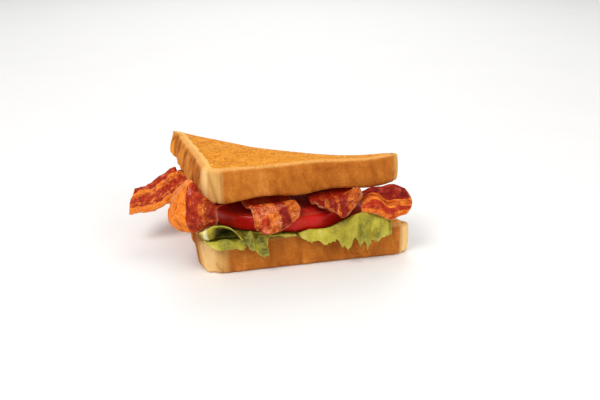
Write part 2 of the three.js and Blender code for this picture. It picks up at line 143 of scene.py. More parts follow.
@dataclass
class Grain:
    """Seeded noise over space, for relief that is made in the mesh.

    Attributes:
        seed: Of the random table.
        table: Its numbers.
    """

    seed: int
    table: Array = field(init=False)

    def __post_init__(self) -> None:
        """Draws the table of random numbers."""
        self.table = np.random.default_rng(self.seed).random(TABLE_SIZE)

    def _draw(self, cell: Array, layer: int) -> Array:
        """Draws a random number for each cell.

        Args:
            cell: Whole-numbered places, last axis x, y, z.
            layer: Tells apart several draws of one seed.

        Returns:
            Values from 0 to 1.
        """
        x, y, z = (cell[..., k].astype(np.int64) for k in range(3))
        mixed = (x * HASH[0]) ^ (y * HASH[1]) ^ (z * HASH[2]) ^ (layer * HASH[3])
        return self.table[mixed & (TABLE_SIZE - 1)]

    def soft(self, points: Array, pitch: float | Sequence[float], layer: int = 0) -> Array:
        """Smooth noise.

        Args:
            points: Places, last axis x, y, z.
            pitch: Size of a lump, one for all axes or one for each.
            layer: Tells apart several noises of one seed.

        Returns:
            Values from -1 to 1.
        """
        place = points / np.asarray(pitch, float)
        cell = np.floor(place)
        s = place - cell
        s = s * s * (3 - 2 * s)
        total = np.zeros(points.shape[:-1])
        for corner in np.ndindex(2, 2, 2):
            weight = np.prod(np.where(corner, s, 1 - s), axis=-1)
            total += weight * self._draw(cell + corner, layer)
        return 2 * total - 1

    def cells(self, points: Array, pitch: float, layer: int = 0) -> tuple[Array, Array, Array]:
        """Scattered seeds, one to a cell.

        Args:
            points: Places, last axis x, y, z.
            pitch: Size of a cell.
            layer: Tells apart several patterns of one seed.

        Returns:
            The distances to the nearest and the next seed, and the nearest one's own number.
        """
        place = points / pitch
        base = np.floor(place)
        nearest = np.full(points.shape[:-1], FAR_CELLS)
        following = np.full(points.shape[:-1], FAR_CELLS)
        own = np.zeros(points.shape[:-1])
        for offset in np.ndindex(3, 3, 3):
            cell = base + offset - 1
            seed = cell + np.stack([self._draw(cell, layer + k) for k in (1, 2, 3)], axis=-1)
            gap = np.linalg.norm(place - seed, axis=-1)
            closer = gap < nearest
            following = np.where(closer, nearest, np.minimum(following, gap))
            own = np.where(closer, self._draw(cell, layer + 4), own)
            nearest = np.where(closer, gap, nearest)
        return nearest, following, own

    def pits(self, points: Array, pitch: float, share: float, layer: int = 0) -> Array:
        """Round pits of several sizes.

        Args:
            points: Places, last axis x, y, z.
            pitch: Size of a cell, which holds one pit at most.
            share: Share of the cells that hold one.
            layer: Tells apart several patterns of one seed.

        Returns:
            Depths, 0 outside the pits and 1 at their bottoms.
        """
        smallest, wider = 0.18, 0.3
        nearest, _, own = self.cells(points, pitch, layer)
        radius = smallest + wider * own / share
        return np.where(own < share, np.clip(1 - (nearest / radius) ** 2, 0, 1), 0)


@dataclass(frozen=True)
class Lumps:
    """One layer of soft noise.

    Attributes:
        height: Of its highest lumps.
        pitch: Size of a lump in millimetres, one for all axes or one for each.
        layer: Tells it apart from the other noises of one seed.
    """

    height: float
    pitch: float | tuple[float, float, float]
    layer: int = 0

    def at(self, grain: Grain, points: Array) -> Array:
        """Its values at the given places."""
        return self.height * grain.soft(points, self.pitch, self.layer)


# ---- The sandwich's layout ----------------------------------------------------------


@dataclass(frozen=True)
class Layout:
    """Sizes that several pieces share, in millimetres.

    Attributes:
        slice_leg: Side of the square slice before it was cut.
        bottom_thick: Thickness of the bottom slice.
        top_leg: The top slice's two sides.
        top_corner: Its lower front-left corner.
        top_turn: Its tilt, roll and yaw in radians.
        corner: Radius of the slices' corners, seen from above.
        sag: Mean and wave of its soft underside at the front crust.
        sag_pitch: Length of that wave.
        sag_start: Where along the crust it sags furthest.
        sag_reach: How far in the sag fades.
        press: How far the knife pressed its face and its underside down at the cut.
        press_start: Where that begins, from the right-angled corner to the cut.
        press_spread: How soon it fades towards the two tips.
        wall_clear: How far outside the top slice's crust a strip starts to rise freely.
        wall_rise: How steeply it may.
        gap: Clearance between pieces that touch.
        cut_line: Fillings end where x + y reaches this.
        tomato_low: Underside of the tomato.
        tomato_thick: Its thickness.
        bacon_thick: Thickness of a strip.
    """

    slice_leg: float = 110.0
    bottom_thick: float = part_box("bread_bottom")[1].z / MM
    top_leg: tuple[float, float] = (105.2, 107.3)
    top_corner: tuple[float, float, float] = (0.98, 2.87, 20.9)
    top_turn: tuple[float, float, float] = (-0.0763, -0.006, 0.0517)
    corner: float = 11.0
    sag: tuple[float, float] = (-2.0, 0.8)
    sag_pitch: float = 37.0
    sag_start: float = 12.0
    sag_reach: float = 22.0
    press: tuple[float, float] = (7.2, 1.6)
    press_start: float = 0.35
    press_spread: float = 0.8
    wall_clear: float = 1.8
    wall_rise: float = 6.0
    gap: float = 0.35
    cut_line: float = 109.0
    tomato_low: float = 1.5
    tomato_thick: float = 8.1
    bacon_thick: float = 2.1

    @property
    def tomato_top(self) -> float:
        """Height of the tomato's upper face."""
        return self.tomato_low + self.tomato_thick

    def to_frame(self, points: Array) -> Array:
        """Places in the part's own frame, in metres."""
        centre = self.slice_leg / 3
        return (points + np.array([-centre, -centre, self.bottom_thick])) * MM

    def knife_press(self, x: Array, y: Array) -> Array:
        """How far places on the top slice share in the knife's press.

        Args:
            x: Along its front crust.
            y: Along its left crust.

        Returns:
            Values from 0 to 1.
        """
        over_x = x / self.top_leg[0]
        over_y = y / self.top_leg[1]
        towards_cut = np.clip((over_x + over_y - self.press_start) / (1 - self.press_start), 0, 1)
        along = np.clip(over_x - over_y, -1, 1)
        return (1 - along * along) ** self.press_spread * towards_cut**2

    def underside(self, x: Array, y: Array) -> Array:
        """Height of the top slice's soft underside, in its own coordinates.

        Args:
            x: Along its front crust.
            y: Along its left crust.

        Returns:
            Heights above a flat underside.
        """
        mean, swing = self.sag
        sag = mean - swing * np.cos(2 * math.pi * (x - self.sag_start) / self.sag_pitch)
        return sag * np.exp(-np.maximum(y, 0) / self.sag_reach) - self.press[1] * self.knife_press(x, y)

    def place_top(self, points: Array) -> Array:
        """Puts the top slice's own coordinates where that slice lies.

        Args:
            points: Places in the slice's own coordinates, last axis x, y, z.

        Returns:
            The same places in the layout's coordinates.
        """
        tilt, roll, yaw = self.top_turn
        matrix = turn("Z", yaw) @ turn("X", tilt) @ turn("Y", roll)
        return points @ matrix.T + np.array(self.top_corner)

    def ceiling(self, x: Array, y: Array) -> Array:
        """How high a filling may reach: the top slice's underside, and freer outside its crust.

        Args:
            x: Along the bottom slice's front crust.
            y: Along its left crust.

        Returns:
            Heights in the layout's coordinates.
        """
        tilt, roll, yaw = self.top_turn
        dx = x - self.top_corner[0]
        dy = y - self.top_corner[1]
        own_x = math.cos(yaw) * dx + math.sin(yaw) * dy
        own_y = math.cos(yaw) * dy - math.sin(yaw) * dx
        from_x = np.maximum(0, self.corner - own_x)
        from_y = np.maximum(0, self.corner - own_y)
        rise = self.wall_rise * np.maximum(0, np.hypot(from_x, from_y) - self.corner - self.wall_clear)
        height = self.top_corner[2] + tilt * own_y - roll * own_x + self.underside(own_x, own_y)
        return height + rise


LAYOUT = Layout()


# ---- Meshes -------------------------------------------------------------------------


def add_object(name: str, data: bpy.types.ID) -> Object:
    """Adds an object to the scene.

    Args:
        name: Of the object.
        data: Its mesh, light or camera.

    Returns:
        The linked object.
    """
    obj = bpy.data.objects.new(name, data)
    bpy.context.scene.collection.objects.link(obj)
    return obj


def make_object(name: str, points: Array, faces: Array, values: dict[str, Array]) -> Object:
    """A smooth mesh object, with its place in its mesh.

    Args:
        name: Of the object.
        points: Vertices in millimetres, in the layout's coordinates.
        faces: Corners of each face, four to a row; a triangle repeats its last corner.
        values: Per-vertex numbers for the material, by attribute name.

    Returns:
        The linked object.
    """
    is_quad = faces[:, 2] != faces[:, 3]
    kept = np.ones(faces.shape, bool)
    kept[:, 3] = is_quad
    corners = faces[kept]
    starts = np.concatenate([[0], np.cumsum(np.where(is_quad, 4, 3))[:-1]])
    mesh = bpy.data.meshes.new(name)
    mesh.vertices.add(len(points))
    mesh.vertices.foreach_set("co", LAYOUT.to_frame(points).astype(np.float32).ravel())
    mesh.loops.add(len(corners))
    mesh.loops.foreach_set("vertex_index", corners.astype(np.int32))
    mesh.polygons.add(len(faces))
    mesh.polygons.foreach_set("loop_start", starts.astype(np.int32))
    mesh.update(calc_edges=True)
    mesh.shade_smooth()
    for key, data in values.items():
        layer = mesh.attributes.new(key, "FLOAT", "POINT")
        layer.data.foreach_set("value", np.asarray(data, np.float32).ravel())
    return add_object(name, mesh)


def stacked_faces(rings: int, count: int) -> Array:
    """Faces of closed rings stacked between a first and a last point.

    Args:
        rings: How many rings there are.
        count: How many points a ring has.

    Returns:
        Corners, four to a row: vertex 0 is the first point, then come the rings.
    """
    k = np.arange(count)
    following = (k + 1) % count
    low = 1 + (np.arange(rings - 1) * count)[:, None]
    sides = np.stack([low + k, low + following, low + count + following, low + count + k], axis=-1)
    first = np.zeros(count, int)
    last = np.full(count, rings * count + 1)
    top = 1 + (rings - 1) * count
    start_fan = np.stack([first, 1 + following, 1 + k, 1 + k], axis=-1)
    end_fan = np.stack([last, top + k, top + following, top + following], axis=-1)
    return np.concatenate([start_fan, sides.reshape(-1, 4), end_fan])


def sheet_faces(rows: int, columns: int) -> Array:
    """Faces of a closed sheet: an upper grid, then a lower one, joined round their edges.

    Args:
        rows: How many rows of points each grid has.
        columns: How many points a row has.

    Returns:
        Corners, four to a row.
    """
    index = np.arange(rows * columns).reshape(rows, columns)
    under = index + rows * columns

    def quads(a: Array, b: Array, c: Array, d: Array) -> Array:
        """Faces from grids of their four corners."""
        return np.stack([a.ravel(), b.ravel(), c.ravel(), d.ravel()], axis=-1)

    return np.concatenate(
        [
            quads(index[:-1, :-1], index[1:, :-1], index[1:, 1:], index[:-1, 1:]),
            quads(under[:-1, :-1], under[:-1, 1:], under[1:, 1:], under[1:, :-1]),
            quads(index[:-1, 0], under[:-1, 0], under[1:, 0], index[1:, 0]),
            quads(index[:-1, -1], index[1:, -1], under[1:, -1], under[:-1, -1]),
            quads(index[0, :-1], index[0, 1:], under[0, 1:], under[0, :-1]),
            quads(index[-1, :-1], under[-1, :-1], under[-1, 1:], index[-1, 1:]),
        ]
    )


def with_ends(values: dict[str, Array]) -> dict[str, Array]:
    """Numbers of stacked rings as rows, with the first and the last point's added."""
    return {key: np.concatenate([grid[0, :1], grid.ravel(), grid[-1, :1]]) for key, grid in values.items()}


def make_sheet(name: str, middle: Array, thick: Array, values: dict[str, Array]) -> Object:
    """A closed sheet round a grid of places.

    Args:
        name: Of the object.
        middle: The sheet's middle surface, a grid of places in millimetres.
        thick: Thickness at each place of the grid.
        values: Numbers for the material on the same grid, by attribute name.

    Returns:
        The linked object, with the attribute `upper` added: 1 above and 0 below.
    """
    normal = normals(middle)
    half = normal * thick[..., None] / 2
    points = np.concatenate([(middle + half).reshape(-1, 3), (middle - half).reshape(-1, 3)])
    rows, columns = middle.shape[:2]
    both = {key: np.tile(np.asarray(grid).ravel(), 2) for key, grid in values.items()}
    both["upper"] = np.repeat([1.0, 0.0], rows * columns)
    return make_object(name, points, sheet_faces(rows, columns), both)


# ---- Shader maths -------------------------------------------------------------------


class Wire:
    """A shader socket that carries a number, with arithmetic that adds Math nodes."""

    def __init__(self, shader: "Shader", socket: bpy.types.NodeSocket) -> None:
        """Wraps an output socket."""
        self.shader = shader
        self.socket = socket

    def _math(self, operation: str, *values: "Wire | float") -> "Wire":
        """Adds a Math node."""
        return self.shader.node("ShaderNodeMath", {"operation": operation}, dict(enumerate(values)))

    def __add__(self, other: "Wire | float") -> "Wire":
        """The sum."""
        return self._math("ADD", self, other)

    def __sub__(self, other: "Wire | float") -> "Wire":
        """The difference."""
        return self._math("SUBTRACT", self, other)

    def __rsub__(self, other: float) -> "Wire":
        """The difference from a plain number."""
        return self._math("SUBTRACT", other, self)

    def __mul__(self, other: "Wire | float") -> "Wire":
        """The product."""
        return self._math("MULTIPLY", self, other)

    __radd__ = __add__
    __rmul__ = __mul__

    def largest(self, other: "Wire | float") -> "Wire":
        """The larger of two."""
        return self._math("MAXIMUM", self, other)

    def ease(self, low: float, high: float, start: float = 0.0, end: float = 1.0) -> "Wire":
        """Goes smoothly from one number to another.

        Args:
            low: Where it begins to change.
            high: Where it has changed.
            start: Its value at low and beyond.
            end: Its value at high and beyond.

        Returns:
            The eased number.
        """
        settings = {"interpolation_type": "SMOOTHSTEP"}
        values = {"Value": self, "From Min": low, "From Max": high, "To Min": start, "To Max": end}
        return self.shader.node("ShaderNodeMapRange", settings, values)


@dataclass(frozen=True)
class Stops:
    """Stops of a colour ramp.

    Attributes:
        places: From 0 to 1.
        colours: One for each place.
    """

    places: tuple[float, ...]
    colours: tuple[Colour, ...]


class Shader:
    """One material's node tree."""

    def __init__(self, name: str, **uniform: float | Colour) -> None:
        """Starts a material.

        Args:
            name: Of the material.
            uniform: Values that are the same all over, by the shader socket's name with
                underscores for its spaces.
        """
        self.material = bpy.data.materials.new(name)
        self.material.use_nodes = True
        self.tree = self.material.node_tree
        self.principled = self.tree.nodes["Principled BSDF"]
        for key, value in uniform.items():
            spaced = key.replace("_", " ")
            socket = self.principled.inputs[spaced]
            is_colour = isinstance(value, tuple) and socket.type == "RGBA"
            socket.default_value = (*value, 1.0) if is_colour else value

    def _feed(self, socket: bpy.types.NodeSocket, value: object) -> None:
        """Links or sets an input socket."""
        if isinstance(value, Wire):
            self.tree.links.new(value.socket, socket)
        elif isinstance(value, tuple) and socket.type == "RGBA":
            socket.default_value = (*value, 1.0)
        else:
            socket.default_value = value

    def node(
        self,
        kind: str,
        settings: dict[str, object],
        values: dict[str | int, object],
        output: str | int = 0,
    ) -> Wire:
        """Adds a node.

        Args:
            kind: The node's type.
            settings: Its properties, set first; `stops` fills a colour ramp.
            values: Numbers, colours or wires for its input sockets.
            output: Which output socket is wanted.

        Returns:
            That output as a wire.
        """
        added = self.tree.nodes.new(kind)
        for key, value in settings.items():
            if isinstance(value, Stops):
                elements = added.color_ramp.elements
                while len(elements) < len(value.places):
                    elements.new(1.0)
                for element, place, colour in zip(elements, value.places, value.colours):
                    element.position = place
                    element.color = (*colour, 1.0)
            else:
                setattr(added, key, value)
        for key, value in values.items():
            self._feed(added.inputs[key], value)
        return Wire(self, added.outputs[output])

    def attribute(self, name: str) -> Wire:
        """A per-vertex number of the mesh."""
        return self.node("ShaderNodeAttribute", {"attribute_name": name}, {}, "Fac")

    def place(self) -> Wire:
        """The surface's place in metres."""
        return self.node("ShaderNodeTexCoord", {}, {}, "Object")

    def vector(self, x: Wire | float, y: Wire | float, z: Wire | float) -> Wire:
        """Three numbers as a vector."""
        return self.node("ShaderNodeCombineXYZ", {}, {0: x, 1: y, 2: z})

    def noise(self, where: Wire, lump_mm: float, detail: float = 3.0, distortion: float = 0.0) -> Wire:
        """Noise from 0 to 1 whose lumps are about lump_mm across, on metre coordinates."""
        values = {"Vector": where, "Scale": 1 / (lump_mm * MM), "Detail": detail, "Distortion": distortion}
        return self.node("ShaderNodeTexNoise", {}, values, "Fac")

    def pores(self, where: Wire, pitch_mm: float) -> Wire:
        """Distance to the nearest of scattered points, in pitches."""
        values = {"Vector": where, "Scale": 1 / (pitch_mm * MM)}
        return self.node("ShaderNodeTexVoronoi", {"feature": "F1"}, values, "Distance")

    def ramp(self, factor: Wire, stops: Stops) -> Wire:
        """A colour ramp."""
        return self.node("ShaderNodeValToRGB", {"stops": stops}, {"Fac": factor}, "Color")

    def blend(self, factor: Wire | float, first: Wire | Colour, second: Wire | Colour) -> Wire:
        """Mixes two colours."""
        values = {MIX_FACTOR: factor, MIX_FIRST: first, MIX_SECOND: second}
        return self.node("ShaderNodeMix", {"data_type": "RGBA"}, values, MIX_RESULT)

    def finish(self, **links: Wire) -> Material:
        """Feeds what changes over the surface to the shader.

        Args:
            links: Wires, by the shader socket's name with underscores for its spaces;
                `height` is relief in millimetres that feeds a Bump node.

        Returns:
            The material.
        """
        height = links.pop("height", None)
        if height is not None:
            values = {"Strength": 1.0, "Distance": MM, "Height": height}
            links["Normal"] = self.node("ShaderNodeBump", {}, values)
        for key, wire in links.items():
            self._feed(self.principled.inputs[key.replace("_", " ")], wire)
        return self.material


def paint(red: int, green: int, blue: int) -> Colour:
    """A screen colour as the linear colour that shaders use.

    Args:
        red: From 0 to 255, as the others.
        green: The green part.
        blue: The blue part.

    Returns:
        The three parts from 0 to 1.
    """

    def linear(part: float) -> float:
        """One part, by the standard curve of screens."""
        return part / 12.92 if part <= 0.04045 else ((part + 0.055) / 1.055) ** 2.4

    return (linear(red / 255), linear(green / 255), linear(blue / 255))


# ---- Finishes -----------------------------------------------------------------------


@dataclass(frozen=True)
class ToastFinish:
    """Toasted sandwich bread: brown crust, golden faces and a pale crumb at the cut.

    Attributes:
        crust: Colours of the crust, dark to light.
        tan: The tan upright bands at the loaf's corners.
        cream_highlight: Painted highlight: the palest of those bands, along the corners' rounding.
        glow: Painted light: a brighter golden tone on the crust near the left tip, whose leaning wall lies
            in shade.
        crest: Painted highlight: the lighter line where the crust turns into a face.
        border: The face's pale border beside the crust.
        golden: Colours of the toasted face, dark to light.
        speck: Darker pores of the toasted face.
        crumb: Colours of the cut crumb, dark to light.
    """

    crust: Stops = Stops(
        (0.24, 0.42, 0.56, 0.76),
        (paint(134, 62, 12), paint(176, 98, 28), paint(196, 116, 40), paint(222, 150, 72)),
    )
    tan: Colour = paint(214, 162, 92)
    cream_highlight: Colour = paint(240, 196, 130)
    glow: Colour = paint(246, 156, 48)
    crest: Colour = paint(240, 178, 98)
    border: Colour = paint(240, 188, 108)
    golden: Stops = Stops(
        (0.3, 0.43, 0.55, 0.72),
        (paint(174, 86, 6), paint(210, 124, 12), paint(228, 148, 24), paint(246, 184, 72)),
    )
    speck: Colour = paint(150, 70, 12)
    crumb: Stops = Stops(
        (0.25, 0.5, 0.75),
        (paint(206, 166, 112), paint(236, 202, 150), paint(248, 222, 178)),
    )

    def build(self) -> Material:
        """Makes the material.

        Returns:
            The material, with its node tree.
        """
        shader = Shader("toast", Specular_IOR_Level=0.12)
        value = shader.attribute
        where = shader.place()
        along = value("along")
        rise = value("rise")
        on_crust = shader.vector(along, rise * 0.4, 0.0)
        upright = shader.noise(on_crust, 3.0, 5.0, 0.8)
        blotch = shader.noise(where, 7.0, 5.0, 0.6)
        fine = shader.noise(where, 0.9, 4.0)
        # Painted shade: the crust's tone is darker in the creases of its relief and lighter on its ridges.
        tone = upright * 0.22 + blotch * 0.42 + fine * 0.36 + value("groove_shading") * 0.34
        wall = shader.ramp(tone, self.crust)
        smudge = value("smudge") * (fine * 0.5 + blotch * 0.5).ease(0.4, 0.56)
        wall = shader.blend(smudge * 0.6, wall, self.crust.colours[0])
        # Painted light: the leaning left crust brightened to gold towards its tip.
        wall = shader.blend(value("glow") * tone.ease(0.3, 0.62, 0.3, 1.0), wall, self.glow)
        pale = value("pale") + (upright - 0.5) * 0.3
        # Middling paleness is tan crust; the highest is a painted highlight in cream.
        wall = shader.blend(pale.ease(0.1, 0.5), wall, self.tan)
        wall = shader.blend(pale.ease(0.55, 0.95), wall, self.cream_highlight)
        # Painted highlight along the crust's upper and lower edges.
        wall = shader.blend(value("crest") * fine.ease(0.2, 0.7, 0.4, 0.9), wall, self.crest)

        mottle = shader.noise(where, 6.0, 6.0, 0.3)
        face = shader.ramp(mottle * 0.45 + fine * 0.55, self.golden)
        pore = shader.pores(where, 1.15)
        speck = pore.ease(0.12, 0.36, 1.0, 0.0) * shader.noise(where, 5.0, 3.0).ease(0.4, 0.58, 0.3, 1.0)
        face = shader.blend(speck * 0.85, face, self.speck)
        browned = (value("toasted") + (fine - 0.5) * 0.5).ease(0.2, 0.8)
        face = shader.blend(browned, self.border, face)

        hole = shader.pores(where, 1.7).ease(0.08, 0.4, 1.0, 0.0) * blotch.ease(0.4, 0.56, 0.2, 1.0)
        cut_tone = shader.noise(where, 3.2, 5.0) * 0.8 + 0.14 - hole * 0.16
        crumb = shader.ramp(cut_tone, self.crumb)

        colour = shader.blend(value("flat"), wall, face)
        colour = shader.blend(value("cut"), colour, crumb)
        relief = fine * 0.3 + shader.noise(where, 0.45, 2.0) * 0.12 - speck * 0.35
        relief = relief * value("flat").largest(value("cut")).ease(0.0, 1.0, 0.45, 1.0)
        relief = relief - hole * value("cut") * 0.35 + upright * 0.15
        return shader.finish(Base_Color=colour, Roughness=fine.ease(0.2, 0.8, 0.68, 0.9), height=relief)


@dataclass(frozen=True)
class BaconFinish:
    """Fried bacon: lean in bands of dark and orange red, fat in amber, all greasy.

    Attributes:
        dark_lean: Colours of lean that fried dark.
        bright_lean: Colours of lean that stayed orange-red.
        brown_fat: Colours of fat that fried brown.
        amber_fat: Colours of clear amber fat.
        glint: Painted glints: tiny pale specks on the foamed fat, and a painted highlight along the edges.
        froth_highlight: Painted highlight: pale patches where the fat foamed most.
        shadow: Painted shade on the greasy meat deep between the slices.
    """

    dark_lean: Stops = Stops((0.3, 0.5, 0.75), (paint(78, 6, 2), paint(130, 16, 6), paint(166, 40, 14)))
    bright_lean: Stops = Stops((0.3, 0.5, 0.75), (paint(126, 22, 6), paint(178, 46, 12), paint(214, 86, 28)))
    brown_fat: Stops = Stops((0.3, 0.5, 0.75), (paint(118, 42, 8), paint(168, 70, 16), paint(204, 108, 38)))
    amber_fat: Stops = Stops((0.3, 0.5, 0.75), (paint(198, 84, 8), paint(234, 122, 20), paint(250, 162, 62)))
    glint: Colour = paint(250, 178, 112)
    froth_highlight: Colour = paint(220, 120, 82)
    shadow: Colour = paint(176, 40, 18)

    def build(self) -> Material:
        """Makes the material.

        Returns:
            The material, with its node tree.
        """
        shader = Shader("bacon", Coat_Roughness=0.14, Specular_IOR_Level=0.12)
        value = shader.attribute
        where = shader.place()
        along = value("along")
        across = value("across")
        fibres = shader.noise(shader.vector(along * 0.3, across, 0.0), 1.5, 4.0, 0.8)
        lumps = shader.noise(where, 3.0, 4.0, 0.5)
        fine = shader.noise(where, 0.7, 3.0)
        tone = fibres * 0.46 + lumps * 0.4 + fine * 0.14
        warm = (value("warmth") + (lumps - 0.5) * 1.1).ease(0.0, 1.0)
        lean = shader.blend(warm, shader.ramp(tone, self.dark_lean), shader.ramp(tone, self.bright_lean))
        fat = shader.blend(warm, shader.ramp(tone, self.brown_fat), shader.ramp(tone, self.amber_fat))
        marbling = (fibres - 0.5) * 1.5 + (lumps - 0.5) * 1.1
        colour = shader.blend((value("fat") + marbling).ease(0.1, 0.9), lean, fat)
        # The fat's pale foam, with painted glints on it.
        foam_glint = fine.ease(0.56, 0.7) * value("fat").ease(0.0, 1.0, 0.12, 1.0)
        colour = shader.blend(foam_glint * 0.45, colour, self.glint)
        # Painted highlight on the froth.
        colour = shader.blend(value("sizzle") * fine.ease(0.4, 0.6, 0.1, 0.75), colour, self.froth_highlight)
        # Painted highlight along the strip's edges.
        colour = shader.blend(value("edge") * 0.3, colour, self.glint)
        # Painted shade deep in the slot between the slices.
        colour = shader.blend(value("shade") * 0.8, colour, self.shadow)
        relief = lumps * 0.8 + fibres * 0.45 + fine * 0.1
        shine = lumps.ease(0.45, 0.7, 0.0, 0.34)
        rough = fibres.ease(0.3, 0.7, 0.38, 0.6)
        return shader.finish(Base_Color=colour, Roughness=rough, Coat_Weight=shine, height=relief)


@dataclass(frozen=True)
class TomatoFinish:
    """Ripe tomato: glossy skin, and wet flesh with paler walls.

    Attributes:
        skin: Colours of the skin, dark to light.
        flesh: Colours of the flesh, dark to light.
        wall: The paler walls in the flesh.
        shadow: Painted shade on the wet flesh deep between the slices.
    """

    skin: Stops = Stops((0.25, 0.5, 0.8), (paint(166, 18, 12), paint(202, 26, 20), paint(220, 60, 28)))
    flesh: Stops = Stops((0.25, 0.55, 0.85), (paint(164, 22, 10), paint(206, 48, 26), paint(228, 96, 56)))
    wall: Colour = paint(236, 142, 108)
    shadow: Colour = paint(204, 34, 26)

    def build(self) -> Material:
        """Makes the material.

        Returns:
            The material, with its node tree.
        """
        shader = Shader("tomato", Coat_Roughness=0.12, Specular_IOR_Level=0.12)
        value = shader.attribute
        where = shader.place()
        broad = shader.noise(where, 14.0, 2.0)
        fine = shader.noise(where, 1.6, 3.0)
        skin = shader.ramp(broad * 0.8 + fine * 0.2, self.skin)
        flesh = shader.ramp(shader.noise(where, 4.0, 3.0, 0.8), self.flesh)
        flesh = shader.blend(value("wall") * 0.7, flesh, self.wall)
        is_skin = value("skin")
        colour = shader.blend(is_skin, flesh, skin)
        # Painted shade on the flesh between the slices.
        colour = shader.blend(value("shade") * 0.85, colour, self.shadow)
        relief = fine * is_skin.ease(0.0, 1.0, 0.3, 0.02) + broad * 0.2
        gloss = is_skin.ease(0.0, 1.0, 0.02, 0.16)
        rough = is_skin.ease(0.0, 1.0, 0.55, 0.3)
        return shader.finish(Base_Color=colour, Roughness=rough, Coat_Weight=gloss, height=relief)


@dataclass(frozen=True)
class LettuceFinish:
    """Leaf lettuce: yellow-green blades, pale ribs and veins, painted shade in its folds and curls.

    Attributes:
        blade: Colours of the blade, dark to light.
        under: The greyer green of the leaf's other face.
        rib: The pale ribs.
        vein: The finer veins.
        rim: The light edge of the leaf.
        hollow_shade: Painted shade: the dark inside of a curl.
    """

    blade: Stops = Stops(
        (0.16, 0.36, 0.54, 0.7, 0.86),
        (
            paint(50, 50, 6),
            paint(112, 104, 20),
            paint(168, 150, 38),
            paint(202, 186, 56),
            paint(230, 218, 108),
        ),
    )
    under: Colour = paint(140, 132, 46)
    rib: Colour = paint(232, 226, 176)
    vein: Colour = paint(190, 186, 66)
    rim: Colour = paint(214, 206, 96)
    hollow_shade: Colour = paint(34, 32, 6)

    def build(self) -> Material:
        """Makes the material.

        Returns:
            The material, with its node tree.
        """
        shader = Shader("lettuce", Coat_Roughness=0.25, Coat_Weight=0.08, Specular_IOR_Level=0.2)
        value = shader.attribute
        where = shader.place()
        patch = shader.noise(where, 6.0, 3.0)
        fine = shader.noise(where, 1.1, 4.0)
        tone = patch * 0.4 + fine * 0.24 + value("tone") * 0.26
        # Painted light and shade: lighter on the ridges of the relief, darker in its valleys.
        tone = tone + value("ridge") * 0.22 + 0.16
        colour = shader.ramp(tone, self.blade)
        colour = shader.blend((1 - value("upper")) * 0.3, colour, self.under)
        colour = shader.blend(value("vein") * 0.35, colour, self.vein)
        colour = shader.blend(value("rim") * 0.35, colour, self.rim)
        colour = shader.blend(value("rib"), colour, self.rib)
        # Painted shade inside the curl.
        colour = shader.blend(value("hollow_shade"), colour, self.hollow_shade)
        relief = fine * 0.14 + patch * 0.3 + value("vein") * -0.15
        return shader.finish(Base_Color=colour, Roughness=fine.ease(0.2, 0.8, 0.42, 0.6), height=relief)


@dataclass(frozen=True)
class PlainFinish:
    """A small or plain thing in two close colours.

    Attributes:
        name: Of the material.
        colours: Its two colours.
        lump: Size of the pattern in millimetres.
        roughness: Of the surface.
        coat: Weight of its gloss.
    """

    name: str
    colours: tuple[Colour, Colour]
    lump: float
    roughness: float
    coat: float = 0.0

    def build(self) -> Material:
        """Makes the material.

        Returns:
            The material, with its node tree.
        """
        shader = Shader(self.name, Roughness=self.roughness, Coat_Weight=self.coat, Coat_Roughness=0.1)
        spots = shader.noise(shader.place(), self.lump, 2.0)
        return shader.finish(Base_Color=shader.blend(spots, *self.colours))


# ---- Bread --------------------------------------------------------------------------


@dataclass
class Outline:
    """Outline of a half slice, seen from above.

    Attributes:
        step: Spacing of the points.
        rows: One row for each point: x, y, outward x, outward y, share of the crust's
            rounding, depth of its wrinkles, paleness, 1 on the cut, and share of the lean.
    """

    step: float
    rows: list[Array] = field(default_factory=list)

    def _add(self, *columns: Array | float) -> None:
        """Adds points, their last one left to the next stretch."""
        self.rows.append(np.stack(np.broadcast_arrays(*columns), axis=-1)[:-1])

    def line(
        self,
        start: Spot,
        end: Spot,
        outward: Spot,
        wrinkle: float,
        pale: Profile,
        lean: float,
    ) -> None:
        """A straight stretch of crust.

        Args:
            start: Its first end.
            end: Its last end.
            outward: Direction out of the slice.
            wrinkle: Depth of its wrinkles.
            pale: Its paleness by the share of the way.
            lean: Share of the lean.
        """
        t = np.linspace(0, 1, max(2, round(math.dist(start, end) / self.step)) + 1)
        x = mix(start[0], end[0], t)
        self._add(x, mix(start[1], end[1], t), *outward, 1.0, wrinkle, pale(t), 0.0, lean)

    def arc(
        self,
        centre: Spot,
        radius: float,
        angles: Spot,
        wrinkle: float,
        pale: Profile,
        leans: Spot,
    ) -> None:
        """A round stretch of crust.

        Args:
            centre: Of the arc.
            radius: Of the arc.
            angles: Where it starts and ends, in radians.
            wrinkle: Depth of its wrinkles.
            pale: Its paleness by the share of the way round.
            leans: Share of the lean at its start and end.
        """
        length = radius * abs(angles[1] - angles[0])
        t = np.linspace(0, 1, max(3, round(length / self.step)) + 1)
        angle = mix(*angles, t)
        nx = np.cos(angle)
        ny = np.sin(angle)
        x = centre[0] + radius * nx
        self._add(x, centre[1] + radius * ny, nx, ny, 1.0, wrinkle, pale(t), 0.0, mix(*leans, t))

    def cut(self, start: Spot, end: Spot, least: float, reach: float, lean: float) -> None:
        """The straight cut.

        Args:
            start: Its first end.
            end: Its last end.
            least: Share of the crust's rounding that its edges have.
            reach: How far from its ends the crust's rounding fades.
            lean: Share of the lean at its last end, fading as fast.
        """
        denser = 1.6
        blend = (0.4, 1.6)
        length = math.dist(start, end)
        t = np.linspace(0, 1, round(denser * length / self.step) + 1)
        from_end = np.minimum(t, 1 - t) * length
        rounding = np.maximum(least, 1 - from_end / reach)
        nearly = ease(*blend, from_end)
        leaning = lean * np.maximum(0, 1 - (1 - t) * length / reach)
        outward = math.sqrt(0.5)
        x = mix(start[0], end[0], t)
        self._add(x, mix(start[1], end[1], t), outward, outward, rounding, 0.0, 0.0, nearly, leaning)

    def points(self) -> Array:
        """All points, one to a row."""
        return np.concatenate(self.rows)


